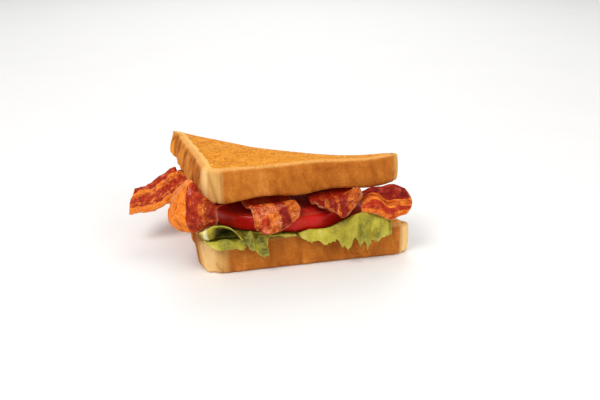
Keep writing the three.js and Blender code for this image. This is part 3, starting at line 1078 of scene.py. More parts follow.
@dataclass(frozen=True)
class BreadNoises:
    """Soft noises of the bread's surface, with heights in millimetres.

    Creases run where their noise is near 0, and smudges lie where theirs is high. Wander,
    slant and smear are how far the broad wrinkles, the fine ones and the smudges stray.
    """

    wander: Lumps = Lumps(2.0, 12.0, 2)
    slant: Lumps = Lumps(1.6, 7.0, 3)
    broad: Lumps = Lumps(1.3, 6.5, 4)
    middling: Lumps = Lumps(0.6, 2.6, 5)
    fine: Lumps = Lumps(0.3, 1.4, 6)
    crease: Lumps = Lumps(1.0, 4.4, 7)
    crumb: Lumps = Lumps(0.12, 1.2)
    lumps: Lumps = Lumps(0.16, 3.4, 11)
    small_lumps: Lumps = Lumps(0.1, 1.6, 12)
    left_border: Lumps = Lumps(1.1, 5.0, 30)
    front_border: Lumps = Lumps(0.4, 5.0, 31)
    smear: Lumps = Lumps(0.8, 4.0, 41)
    smudge: Lumps = Lumps(1.0, (3.2, 1.0, 14.0), 40)


@dataclass
class BreadSlice:
    """A half slice of toast.

    Attributes:
        name: Of the piece, and of the CAD node that it replaces.
        legs: Its two crusted sides, before the corners are rounded.
        thick: Its thickness.
        soft: Whether it is the top slice, which sags and was pressed by the knife.
        border: Width of the pale border of its upper face, beside the left and front crust.
        corner_tones: Paleness round the right-angled corner, at shares of the way from the
        left crust to the front one. Middling paleness is tan crust; the highest is a painted highlight.
        end_paleness: Paleness of the rounded corner at the right end, and where it starts. The highest is a
            painted highlight.
        fade: How far along the front crust the corner's paleness fades.
        glow: Strength of the painted light on the left crust, at its tip's end and halfway.
        face_rings: How many rings of faces its under and its upper face have.
        lean: How far its left crust leans in at its lower and at its upper edge.
        taper: How much more it does for each millimetre back.
        seed: Of its relief.
        smudges: Strength of the dark upright smudges on its crust.
        lean_curve: A lean's growth with height, 1 for a flat wall.
        tip_lean: Share of the lean at the left tip.
        tip_paleness: Paleness of the left tip.
        tip: Radius at its two sharp ends.
        edge: How far its crust's edges are rounded, inwards and upwards.
        under_edge: The same at its underside.
        outset: How far the crust stands outside the outline between those edges.
        bulge: How much further its middle does.
        wrinkles: Depth of the front and the left crust's upright wrinkles.
        creases: Depth of the sharp creases in the front and the left crust.
        crease_width: Of a crease, as a share of its noise.
        stretch: How slowly the broad and the fine wrinkles change upwards.
        slope: How far the fine wrinkles run along the crust for each millimetre up.
        calm: Share of the wrinkles' depth that is left at the upper edge.
        calm_reach: How far below that edge they are still calm, and how far they are full.
        cut_edge: Share of the crust's rounding that the cut edges have.
        tip_reach: How far along the cut the tips' rounding goes.
        end_rounding: How much more the crust's edges are rounded at the right end.
        end_reach: Share of the right corner over which its paleness grows.
        tip_pale_reach: Where the tip's paleness is gone and where it is full, as shares of
            the way round from the left crust's corner.
        glow_at: Shares of the left crust where the painted light is none, halfway and full.
        face_waves: Height and length of the upper face's long and shorter waves.
        wall_levels: Heights of the crust's rings: first, last and how many.
        innermost: How near the middle the faces' smallest ring lies.
        face_edge: Share of the way in over which a face takes over from the crust.
        crest: Heights where the painted highlight along the upper edge starts and is full.
        under_crest: Strength of the painted highlight along the lower edge, and its height.
        noises: Of its surface.
        step: Spacing of its points.
    """

    name: str
    legs: tuple[float, float]
    thick: float
    soft: bool
    border: Spot
    corner_tones: tuple[Spot, ...]
    end_paleness: Spot
    fade: float
    glow: Spot
    face_rings: tuple[int, int]
    lean: Spot
    taper: float
    seed: int
    smudges: float
    lean_curve: float = 1.7
    tip_lean: float = 0.35
    tip_paleness: float = 0.4
    tip: float = 1.4
    edge: Spot = (1.4, 1.9)
    under_edge: Spot = (1.4, 1.9)
    outset: float = 0.33
    bulge: float = 0.5
    wrinkles: Spot = (0.22, 0.5)
    creases: Spot = (0.1, 1.05)
    crease_width: float = 0.3
    stretch: Spot = (0.3, 0.16)
    slope: float = 0.45
    calm: float = 0.25
    calm_reach: Spot = (0.4, 3.6)
    cut_edge: float = 0.12
    tip_reach: float = 5.0
    end_rounding: float = 2.2
    end_reach: float = 0.65
    tip_pale_reach: Spot = (0.85, 0.2)
    glow_at: tuple[float, float, float] = (0.25, 0.5, 0.85)
    face_waves: tuple[Spot, Spot] = ((0.3, 47.0), (0.2, 38.0))
    wall_levels: tuple[tuple[float, float, int], ...] = ((0.0, 0.2, 7), (0.26, 0.74, 12), (0.8, 1.0, 7))
    innermost: float = 0.985
    face_edge: float = 0.05
    crest: Spot = (0.91, 0.98)
    under_crest: Spot = (0.3, 0.05)
    noises: BreadNoises = BreadNoises()
    step: float = 0.75

    def _outline(self) -> Array:
        """Walks round the half slice, starting along the front crust.

        Returns:
            One row for each point, as in Outline.
        """
        outline = Outline(self.step)
        r = LAYOUT.corner
        x, y = self.legs
        front, side = self.wrinkles
        quarter = math.pi / 2
        diagonal = math.sqrt(0.5)
        lift = r * (1 - diagonal)
        back = self.tip * 2 * diagonal
        along_arc = self.tip / r
        offset = self.tip * diagonal
        tip = self.tip_lean
        straight = (0.0, 0.0)
        outline.line((r, 0.0), (x - r, 0.0), (0.0, -1.0), front, self._front_paleness, 0.0)
        right = (-quarter, -quarter / 2 - along_arc)
        end, start = self.end_paleness
        full = start + self.end_reach
        outline.arc((x - r, r), r, right, front, lambda t: end * ease(start, full, t), straight)
        share = np.linspace(0, 1, len(outline.rows[-1]))
        outline.rows[-1][:, ROUNDING] = mix(1.0, self.end_rounding, share**2)
        tip_angles = (-quarter / 2, quarter / 2)
        outline.arc((x - lift - back, lift), self.tip, tip_angles, 0.0, lambda t: end * (1 - t), straight)
        outline.rows[-1][:, ROUNDING] = self.end_rounding
        cut_start = (x - lift - offset, lift + offset)
        cut_end = (lift + offset, y - lift - offset)
        outline.cut(cut_start, cut_end, self.cut_edge, self.tip_reach, tip)
        share = np.linspace(0, 1, len(outline.rows[-1]))
        from_tip = share * math.dist(cut_start, cut_end) / self.tip_reach
        outline.rows[-1][:, ROUNDING] += (self.end_rounding - 1) * np.maximum(0, 1 - from_tip)
        tip_angles = (quarter / 2, 1.5 * quarter)
        pale = self.tip_paleness
        outline.arc((lift, y - lift - back), self.tip, tip_angles, 0.0, lambda t: pale * t, (tip, tip))
        left = (1.5 * quarter + along_arc, 2 * quarter)
        reach = self.tip_pale_reach
        outline.arc((r, y - r), r, left, side, lambda t: pale * ease(*reach, t), (tip, 1.0))
        outline.line((0.0, y - r), (0.0, r), (-1.0, 0.0), side, np.zeros_like, 1.0)
        outline.arc((r, r), r, (2 * quarter, 3 * quarter), side, self._corner_paleness, (1.0, 0.0))
        return outline.points()

    def _corner_paleness(self, t: Array) -> Array:
        """Paleness round the right-angled corner, from the left crust to the front one."""
        return np.interp(t, *zip(*self.corner_tones))

    def _left_glow(self, y: Array) -> Array:
        """Strength of the painted light on the left crust, which fades towards the corner."""
        return np.interp(y / self.legs[1], self.glow_at, (0.0, *self.glow[::-1]))

    def _front_paleness(self, t: Array) -> Array:
        """Paleness along the straight front crust, which fades away from the corner."""
        length = self.legs[0] - 2 * LAYOUT.corner
        return self.corner_tones[-1][1] * ease(self.fade, 0.0, t * length)

    def _relief(self, along: Array, height: Array, wrinkle: Array, grain: Grain, points: Array) -> Array:
        """How far the crust stands out: upright wrinkles, finer ones and sharp creases.

        Args:
            along: Place along the crust.
            height: Height above the slice's underside.
            wrinkle: Depth of the wrinkles, 0 where there is no crust.
            grain: The slice's noise.
            points: The same places, last axis x, y, z.

        Returns:
            Millimetres outwards.
        """
        noises = self.noises
        broad_stretch, fine_stretch = self.stretch
        uneven = along + noises.wander.at(grain, points)
        upright = places(uneven, 0.0, height * broad_stretch)
        slanted = along + self.slope * height + noises.slant.at(grain, points)
        fine = places(slanted, 0.0, height * fine_stretch)
        front, side = self.wrinkles
        crease = mix(*self.creases, (wrinkle - front) / (side - front)) * (wrinkle > 0)
        sharp = ease(self.crease_width, 0.0, np.abs(noises.crease.at(grain, fine)))
        still, moving = (self.thick - reach for reach in self.calm_reach)
        calm = mix(self.calm, 1.0, ease(still, moving, height))
        broad = noises.broad.at(grain, upright)
        wrinkled = wrinkle * (broad + noises.middling.at(grain, fine) + noises.fine.at(grain, fine))
        return (wrinkled - crease * sharp) * calm

    def _inset(self, height: Array) -> Array:
        """How far the crust lies in from the outline.

        Args:
            height: Height above the slice's underside.

        Returns:
            Millimetres inwards, below 0 where the crust stands out.
        """
        total = np.full_like(height, -self.outset) - self.bulge * np.sin(math.pi * height / self.thick)
        for (inwards, upwards), gone in ((self.under_edge, height), (self.edge, self.thick - height)):
            left = np.clip(1 - gone / upwards, 0, 1)
            total += (inwards + self.outset) * (1 - np.sqrt(1 - left**2))
        return total

    def _faces_at(self, x: Array, y: Array) -> tuple[Array, Array]:
        """Unevenness of the two faces.

        Args:
            x: Along the front crust.
            y: Along the left crust.

        Returns:
            How far the under and the upper face lie above a flat one.
        """
        if not self.soft:
            return np.zeros_like(x), np.zeros_like(x)
        (high, length), (low, shorter) = self.face_waves
        over = high * wave(x + 0.4 * y, length) + low * wave(y, shorter, 1)
        return LAYOUT.underside(x, y), over - LAYOUT.press[0] * LAYOUT.knife_press(x, y)

    def _rings(self) -> tuple[Array, Array]:
        """Rings from the middle of the underside out, up the crust, and in again.

        Returns:
            Each ring's height and how far it is drawn in to the middle, both from 0 to 1.
        """
        under, over = self.face_rings
        wall = np.concatenate([np.linspace(*span) for span in self.wall_levels])
        level = np.concatenate([np.zeros(under), wall, np.ones(over)])
        outwards = np.linspace(self.innermost, 1 / under, under)
        inwards = np.linspace(1 / over, self.innermost, over)
        shrink = np.concatenate([outwards, 0 * wall, inwards])
        return level[:, None], shrink[:, None]

    def _close(self, points: Array) -> Array:
        """Puts the rings' points and the two faces' middle points where the slice lies.

        Args:
            points: The rings' points in the slice's own coordinates, ring by ring.

        Returns:
            Rows in the layout's coordinates.
        """
        x, y = (leg / 3 for leg in self.legs)
        under, over = self._faces_at(np.array([x]), np.array([y]))
        first = np.array([[x, y, under[0]]])
        last = np.array([[x, y, self.thick + over[0]]])
        rows = np.concatenate([first, points.reshape(-1, 3), last])
        if self.soft:
            return LAYOUT.place_top(rows)
        rows[:, 2] = np.maximum(rows[:, 2], 0) - self.thick
        return rows

    def build(self) -> Object:
        """Makes the slice.

        Returns:
            The piece, in its place.
        """
        grain = Grain(self.seed)
        noises = self.noises
        outline = self._outline()
        level, shrink = self._rings()
        x, y, nx, ny, crust, wrinkle, pale, cut, leaning = (outline[:, k][None] for k in range(9))
        height = level * self.thick
        relief = self._relief(x - y, height, wrinkle, grain, places(x, y, height))
        lean = self.lean[0] * (1 - level) ** self.lean_curve + self.lean[1] * level**self.lean_curve
        swell = relief - self._inset(height)
        out = np.where(swell > 0, np.minimum(crust, 1), crust) * swell - leaning * (lean + self.taper * y)
        px = mix(x + nx * out, self.legs[0] / 3, shrink)
        py = mix(y + ny * out, self.legs[1] / 3, shrink)
        under, over = self._faces_at(px, py)
        points = places(px, py, height + (1 - level) * under + level * over)

        inwards = np.broadcast_to(shrink, px.shape)
        upwards = np.broadcast_to(level, px.shape)
        on_face = ease(0.0, self.face_edge, inwards)
        on_cut = np.broadcast_to(cut, px.shape) * (1 - on_face)
        crumb = grain.pits(points, pitch=1.9, share=0.5) * 0.32 + noises.crumb.at(grain, points)
        points[..., 0] -= on_cut * nx * crumb
        points[..., 1] -= on_cut * ny * crumb
        uneven = noises.lumps.at(grain, points) + noises.small_lumps.at(grain, points)
        uneven = uneven - 0.22 * grain.pits(points, pitch=2.6, share=0.35, layer=20)
        points[..., 2] += ease(0.0, 2 * self.face_edge, inwards) * uneven * np.sign(level - 0.5)

        from_left = px - self.lean[1] - self.taper * py
        left_border = self.border[0] + noises.left_border.at(grain, points)
        front_border = self.border[1] + noises.front_border.at(grain, points)
        toasted = ease(0.6, 1.1, from_left / left_border) * ease(0.6, 1.6, py / front_border)
        steps = np.diff(outline[:, :2], axis=0, prepend=outline[:1, :2])
        walked = np.cumsum(np.hypot(steps[:, 0], steps[:, 1]))
        smeared = walked[None] + noises.smear.at(grain, points)
        upright = places(smeared, 0.0, height)
        strength, thin = self.under_crest
        values = {
            "along": np.broadcast_to(walked * MM, px.shape),
            "rise": np.broadcast_to(height * MM, px.shape),
            "groove_shading": relief,
            "smudge": self.smudges * ease(0.1, 0.5, noises.smudge.at(grain, upright)),
            "pale": np.broadcast_to(pale, px.shape),
            "glow": np.broadcast_to(leaning * self._left_glow(y), px.shape),
            "crest": ease(*self.crest, upwards) + strength * ease(thin, 0.0, upwards),
            "flat": on_face,
            "toasted": toasted,
            "crumbly": toasted * on_face * (level > 0.5),
            "cut": on_cut * ease(0.0, 0.05, level) * ease(1.0, 0.95, level),
        }
        return make_object(self.name, self._close(points), stacked_faces(*px.shape), with_ends(values))


# ---- Bacon --------------------------------------------------------------------------


class Meat(Enum):
    """What a band of a strip is; the value is its share of fat."""

    LEAN = 0.0
    MARBLED = 0.5
    FAT = 1.0


@dataclass(frozen=True)
class Band:
    """A band that runs along a strip.

    Attributes:
        end: Where it ends across the strip, from 0 to 1.
        meat: Lean or fat.
        warmth: 0 for dark or brown, 1 for orange-red or amber.
    """

    end: float
    meat: Meat
    warmth: float


@dataclass(frozen=True)
class BaconNoises:
    """Soft noises of a strip: its bands' as shares of the width, its lumps' in millimetres."""

    bands: Lumps = Lumps(0.06, (11.0, 40.0, 1.0), 1)
    small_bands: Lumps = Lumps(0.035, (3.5, 9.0, 1.0), 2)
    lumps: Lumps = Lumps(0.45, (3.6, 5.0, 1.0), 7)
    small_lumps: Lumps = Lumps(0.25, 1.7, 8)
    thickness: Lumps = Lumps(0.1, 2.2, 9)
    froth_highlight: Lumps = Lumps(1.0, 4.5, 10)


@dataclass
class BaconStrip:
    """A fried strip, from its hidden end to its free end.

    Attributes:
        name: Of the piece, and of the CAD node that it replaces.
        rails: Lines of places along the strip, laid side by side across it.
        run: Direction in plan along which it ripples.
        pitch: Length of a ripple.
        ripple: Height of the ripples at the hidden and at the free end.
        bands: Across the strip, in order.
        phase: Of the ripples.
        slant: How far the bands drift across from one end to the other.
        seed: Of its relief.
        sizzle: Share of its beads of hot fat, and strength of the painted highlight on its froth, from 0 to
            1.
        shade_in: How far inside the crusts the slot's shade starts and is full.
        shade_down: How far below the top slice it is gone and full.
        band_blur: Half the width over which one band turns into the next.
        edge_round: How far in from its edges it is thinner.
        edge_thick: Thickness at its very edge.
        body: Share of the full thickness that lean has, and how much more fat has.
        noises: Of its surface.
        step: Spacing of its points.
    """

    name: str
    rails: Sequence[Places]
    run: tuple[float, float]
    pitch: float
    ripple: tuple[float, float]
    bands: tuple[Band, ...]
    phase: float = 0.0
    slant: float = 0.0
    seed: int = 1
    sizzle: float = 0.12
    shade_in: Spot = (-2.2, 3.0)
    shade_down: Spot = (9.0, 3.0)
    band_blur: float = 0.035
    edge_round: float = 1.1
    edge_thick: float = 0.25
    body: Spot = (0.62, 0.22)
    noises: BaconNoises = BaconNoises()
    step: float = 0.5

    def _middle(self, u: Array, v: Array) -> Array:
        """The strip's middle surface.

        Args:
            u: Positions along it, from 0 to 1.
            v: Positions across it, from 0 to 1.

        Returns:
            The grid of places, u by v.
        """
        lines = np.stack([spline(np.array(line, float), u) for line in self.rails])
        grid = spline(lines, v).transpose(1, 0, 2).copy()
        x, y, z = (grid[..., k] for k in range(3))
        lift = mix(self.ripple[0], self.ripple[1], u)[:, None]
        run = x * self.run[0] + y * self.run[1] + np.sin(3 * v + self.phase)[None]
        z += lift * wave(run, self.pitch, self.phase)
        return grid

    def _shade(self, grid: Array) -> Array:
        """How deep each place lies in the slot between the slices, which sets its painted shade.

        Args:
            grid: Places on the strip.

        Returns:
            Values from 0 to 1.
        """
        inside = ease(*self.shade_in, np.minimum(grid[..., 0], grid[..., 1]))
        below = LAYOUT.ceiling(grid[..., 0], grid[..., 1]) - grid[..., 2]
        return inside * ease(*self.shade_down, below)

    def _press(self, grid: Array) -> None:
        """Keeps the strip under the top slice, and there above the tomato.

        Args:
            grid: Places on the strip, which are changed.
        """
        room = LAYOUT.bacon_thick / 2 + 1.5 * LAYOUT.gap
        high = LAYOUT.ceiling(grid[..., 0], grid[..., 1]) - room
        low = np.where(high < LAYOUT.top_corner[2] - room, LAYOUT.tomato_top + room, -np.inf)
        grid[..., 2] = np.minimum(np.maximum(grid[..., 2], low), high)

    def build(self) -> Object:
        """Makes the strip.

        Returns:
            The piece, in its place.
        """
        grain = Grain(self.seed)
        rough = self._middle(np.linspace(0, 1, 30), np.linspace(0, 1, 12))
        length = np.linalg.norm(np.diff(rough, axis=0), axis=-1).sum(axis=0).mean()
        width = np.linalg.norm(np.diff(rough, axis=1), axis=-1).sum(axis=1).mean()
        u = np.linspace(0, 1, round(length / self.step))
        v = np.linspace(0, 1, round(width / self.step))
        along = u[:, None] * length + 0 * v
        across = v * width + 0 * u[:, None]
        flat = places(along, across, 0.0)

        noises = self.noises
        wander = noises.bands.at(grain, flat) + noises.small_bands.at(grain, flat)
        where = v[None] + self.slant * (u[:, None] - 1) + wander
        fat = np.full(where.shape, self.bands[0].meat.value)
        warmth = np.full(where.shape, self.bands[0].warmth)
        for band, following in zip(self.bands, self.bands[1:]):
            past = ease(band.end - self.band_blur, band.end + self.band_blur, where)
            fat = mix(fat, following.meat.value, past)
            warmth = mix(warmth, following.warmth, past)

        middle = self._middle(u, v)
        self._press(middle)
        normal = normals(middle)
        free = ease(0.0, 3.0, -np.minimum(middle[..., 0], middle[..., 1]))
        lumps = noises.lumps.at(grain, flat) + noises.small_lumps.at(grain, flat)
        middle += normal * (lumps * free)[..., None]
        to_edge = np.minimum(np.minimum(across, width - across), np.minimum(along, length - along))
        rounded = np.sqrt(np.clip(1 - (1 - np.clip(to_edge / self.edge_round, 0, 1)) ** 2, 0, 1))
        share = self.body[0] + self.body[1] * fat + noises.thickness.at(grain, flat)
        thick = self.edge_thick + (LAYOUT.bacon_thick * share - self.edge_thick) * rounded
        values = {
            "along": along * MM,
            "across": across * MM,
            "fat": fat,
            "warmth": warmth,
            # Strength of the painted highlight along the edges.
            "edge": ease(0.9, 0.1, to_edge),
            "shade": self._shade(middle),
            "sizzle": self.sizzle * free * ease(0.05, 0.45, noises.froth_highlight.at(grain, flat)),
        }
        return make_sheet(self.name, middle, thick, values)


# ---- Tomato -------------------------------------------------------------------------


@dataclass
class TomatoSlice:
    """A slice of tomato with a lobed rim, cut off where it crosses the cut line.

    Attributes:
        name: Of the piece, and of the CAD node that it replaces.
        centre: Of the oval.
        radii: Of the oval.
        lobes: How many lobes the rim has.
        phase: Where they start.
        seed: Of its relief.
        steps: How many points go round it.
        levels: How many rings its rim has.
        face_rings: How many rings each face has.
        lobe_depth: Of the lobes, as a share of the oval.
        swell: How far the rim's middle stands out, and how far its edges draw in from that.
        pulp: Roughness of its cut flesh, in millimetres.
    """

    name: str
    centre: Spot
    radii: Spot
    lobes: int
    phase: float
    seed: int
    steps: int = 480
    levels: int = 19
    face_rings: int = 22
    lobe_depth: float = 0.02
    swell: Spot = (0.2, 1.2)
    pulp: Lumps = Lumps(0.25, 2.2)

    def build(self) -> Object:
        """Makes the slice.

        Returns:
            The piece, in its place.
        """
        grain = Grain(self.seed)
        angle = np.linspace(0, 2 * math.pi, self.steps, endpoint=False)[None]
        c = np.cos(angle)
        s = np.sin(angle)
        oval = 1 / np.hypot(c / self.radii[0], s / self.radii[1])
        room = LAYOUT.cut_line - sum(self.centre)
        least = 0.05
        to_cut = np.where(c + s > least, room / np.maximum(c + s, least), np.inf)
        level = np.linspace(0, 1, self.levels)[:, None]
        grow = self.swell[0] - self.swell[1] * np.abs(2 * level - 1) ** 5
        lobed = oval * (1 + self.lobe_depth * np.cos(self.lobes * angle + self.phase)) + grow
        side = np.minimum(lobed, to_cut)
        shares = np.linspace(0.97, 0.06, self.face_rings)[:, None]
        reach = np.concatenate([(side[:1] * shares)[::-1], side, side[-1:] * shares])
        heights = np.concatenate([0 * shares, level, 0 * shares + 1]) * LAYOUT.tomato_thick
        x = self.centre[0] + c * reach
        y = self.centre[1] + s * reach
        points = places(x, y, LAYOUT.tomato_low + heights)
        is_side = np.concatenate([0 * shares, level * 0 + 1, 0 * shares]) + 0 * x
        is_cut = is_side * ((to_cut < lobed[self.levels // 2]) + 0 * x)
        skin = is_side * (1 - is_cut)
        wet = self.pulp.at(grain, points) * is_cut
        points[..., 0] -= wet
        points[..., 1] -= wet
        share = reach / oval
        spoke = np.abs(np.sin(2.5 * angle + 0.4))
        spokes = ease(0.12, 0.0, spoke * share) * ease(0.15, 0.3, share)
        wall = ease(0.82, 0.9, share) + spokes
        chamber = ease(0.2, 0.4, share) * ease(0.84, 0.76, share) * ease(0.1, 0.3, spoke)
        cut_height = ease(0.1, 0.25, level) * ease(0.9, 0.75, level)
        seeded = np.concatenate([0 * shares, cut_height, 0 * shares]) * is_cut * (0.3 + 0.7 * chamber)
        # Painted shade on the faces, deeper further back between the slices.
        shade = (1 - is_side) * ease(-4.0, 4.0, y)
        values = {"skin": skin, "wall": np.clip(wall, 0, 1) * (1 - skin), "seeded": seeded, "shade": shade}
        ends = [np.array([[*self.centre, LAYOUT.tomato_low + h]]) for h in (0.0, LAYOUT.tomato_thick)]
        flat_points = np.concatenate([ends[0], points.reshape(-1, 3), ends[1]])
        return make_object(self.name, flat_points, stacked_faces(*x.shape), with_ends(values))


# ---- Lettuce ------------------------------------------------------------------------


@dataclass(frozen=True)
class LeafNoises:
    """Soft noises of a leaf: its notches' as shares of the teeth, the others' in millimetres."""

    notch: Lumps = Lumps(0.6, 3.4, 1)
    small_notch: Lumps = Lumps(0.4, 1.6, 2)
    blister: Lumps = Lumps(0.5, 5.5, 30)
    ruffle: Lumps = Lumps(0.6, 2.8, 40)
    stray: Lumps = Lumps(1.5, 7.0, 50)
    fold_layer: int = 51


@dataclass
class LettuceLeaf:
    """A leaf pressed flat between back and lip, which then bends over face to its rim.

    Attributes:
        name: Of the piece, and of the CAD node that it replaces.
        back: Places along its end at the cut.
        lip: Places along the bread's edge.
        face: Places along the middle of the part that hangs out.
        rim: Places along its free edge.
        ribs: Where pale ribs run, from 0 to 1 along the leaf.
        tones: How light the leaf is, -1 to 1, at places from 0 to 1 along it.
        ruffle: How far its end at the cut rises.
        frill: How far its free edge waves forward.
        folds: How many waves there are along it.
        tooth: Depth of the small teeth of its free edge, as a share of what hangs out.
        seed: Of its relief.
        curl: Where along it the painted shade in the hollow of a curl starts and ends.
        rib_width: Of a pale rib.
        fold_depth: Depth of its small upright folds, and their pitch.
        ruffle_reach: Share of its flat part that the rise at the cut takes.
        thick: Its thickness.
        noises: Of its surface.
        step: Spacing of its points.
    """

    name: str
    back: Places
    lip: Places
    face: Places
    rim: Places
    ribs: tuple[float, ...]
    tones: tuple[Spot, ...]
    ruffle: float
    frill: float
    folds: int
    tooth: float
    seed: int
    curl: Spot = (2.0, 3.0)
    rib_width: float = 1.5
    fold_depth: Spot = (0.9, 6.5)
    ruffle_reach: float = 0.035
    thick: float = 0.55
    noises: LeafNoises = LeafNoises()
    step: float = 0.4

    def _surface(self, u: Array, flat_t: Array, bent_t: Array) -> Array:
        """The leaf's middle surface.

        Args:
            u: Positions along the leaf.
            flat_t: Positions across the flat part.
            bent_t: Positions across the bent part, one row for each u.

        Returns:
            The grid of places, u by all positions across.
        """
        lines = (self.back, self.lip, self.face, self.rim)
        back, lip, face, rim = (spline(np.array(line, float), u)[:, None] for line in lines)
        waves = 0.5 + 0.5 * wave(u, 1 / self.folds)[:, None]
        flat = mix(back, lip, flat_t[None, :, None])
        flat[..., 2] += self.ruffle * waves * np.maximum(0, 1 - flat_t / self.ruffle_reach)
        t = bent_t[..., None]
        bent = lip * (1 - t) * (1 - 2 * t) + face * 4 * t * (1 - t) + rim * t * (2 * t - 1)
        bent[..., 1] -= self.frill * bent_t**2 * (0.5 + 0.5 * wave(u, 1 / self.folds, 1)[:, None])
        return np.concatenate([flat, bent], axis=1)

    def build(self) -> Object:
        """Makes the leaf.

        Returns:
            The piece, in its place.
        """
        grain = Grain(self.seed)
        noises = self.noises
        length = np.linalg.norm(np.diff(np.array(self.rim, float), axis=0), axis=1).sum()
        u = np.linspace(0, 1, round(length / self.step))
        flat_t = np.linspace(0, 1, 80)[:-1] ** 1.6
        hang = np.linspace(0, 1, 34)
        edge_line = places(u * length, 0.0, 0.0)
        notch = np.abs(noises.notch.at(grain, edge_line))
        notch = notch + np.abs(noises.small_notch.at(grain, edge_line))
        bent_t = hang[None] * (1 - self.tooth * notch[:, None])
        middle = self._surface(u, flat_t, bent_t)
        across = np.concatenate([flat_t - 1, hang])[None] + 0 * u[:, None]
        out = np.clip(across, 0, 1)

        _, _, own = grain.cells(middle, 4.2)
        nearest, following, _ = grain.cells(middle * [1, 1, 1.15], 3.6, 10)
        vein = ease(0.16, 0.03, following - nearest)
        rib = np.zeros_like(vein)
        for at in self.ribs:
            from_rib = np.abs(u[:, None] - at + 0.004 * wave(across, 0.9, at * 20)) * length
            rib = np.maximum(rib, ease(self.rib_width, 0.3 * self.rib_width, from_rib + 1.0 * out))
        normal = normals(middle)
        blister = (0.5 - nearest) * 0.9 + noises.blister.at(grain, middle)
        crinkle = blister * ease(0.0, 0.25, out) * 0.75 + 0.35 * rib * ease(0.0, 0.2, out)
        ruffle = noises.ruffle.at(grain, middle) * ease(0.55, 1.0, out)
        depth, pitch = self.fold_depth
        bent_along = u[:, None] * length + noises.stray.at(grain, middle)
        upright = places(bent_along, 0.2 * middle[..., 2], 0.0)
        fold = grain.soft(upright, pitch / 2, noises.fold_layer) * ease(0.05, 0.7, out)
        relief = crinkle + ruffle + 1.6 * depth * fold
        middle += normal * relief[..., None]
        tone = np.interp(u, *zip(*self.tones))[:, None] + 0.6 * ease(-0.7, -1.0, across)
        start, end = self.curl
        curl = ease(start, start + 0.24, u) * ease(end, end - 0.12, u)
        thick = self.thick * (1 - 0.45 * ease(0.7, 1.0, out)) + 0.5 * rib * (1 - 0.7 * out)
        values = {
            "vein": vein * (1 - rib),
            "rib": rib,
            "rim": ease(0.93, 1.0, out),
            # Painted shade: darker towards the lip, under the fillings, lighter out to the rim.
            "tone": tone + 0.7 * out - 0.45 + 0.3 * (own - 0.5),
            "ridge": np.clip(relief, -1.2, 1.2),
            "hollow_shade": curl[:, None] * ease(0.1, 0.3, out) * ease(0.97, 0.8, out) * 0.9,
        }
        return make_sheet(self.name, middle, thick, values)


# ---- Grains strewn by node trees -----------------------------------------------------


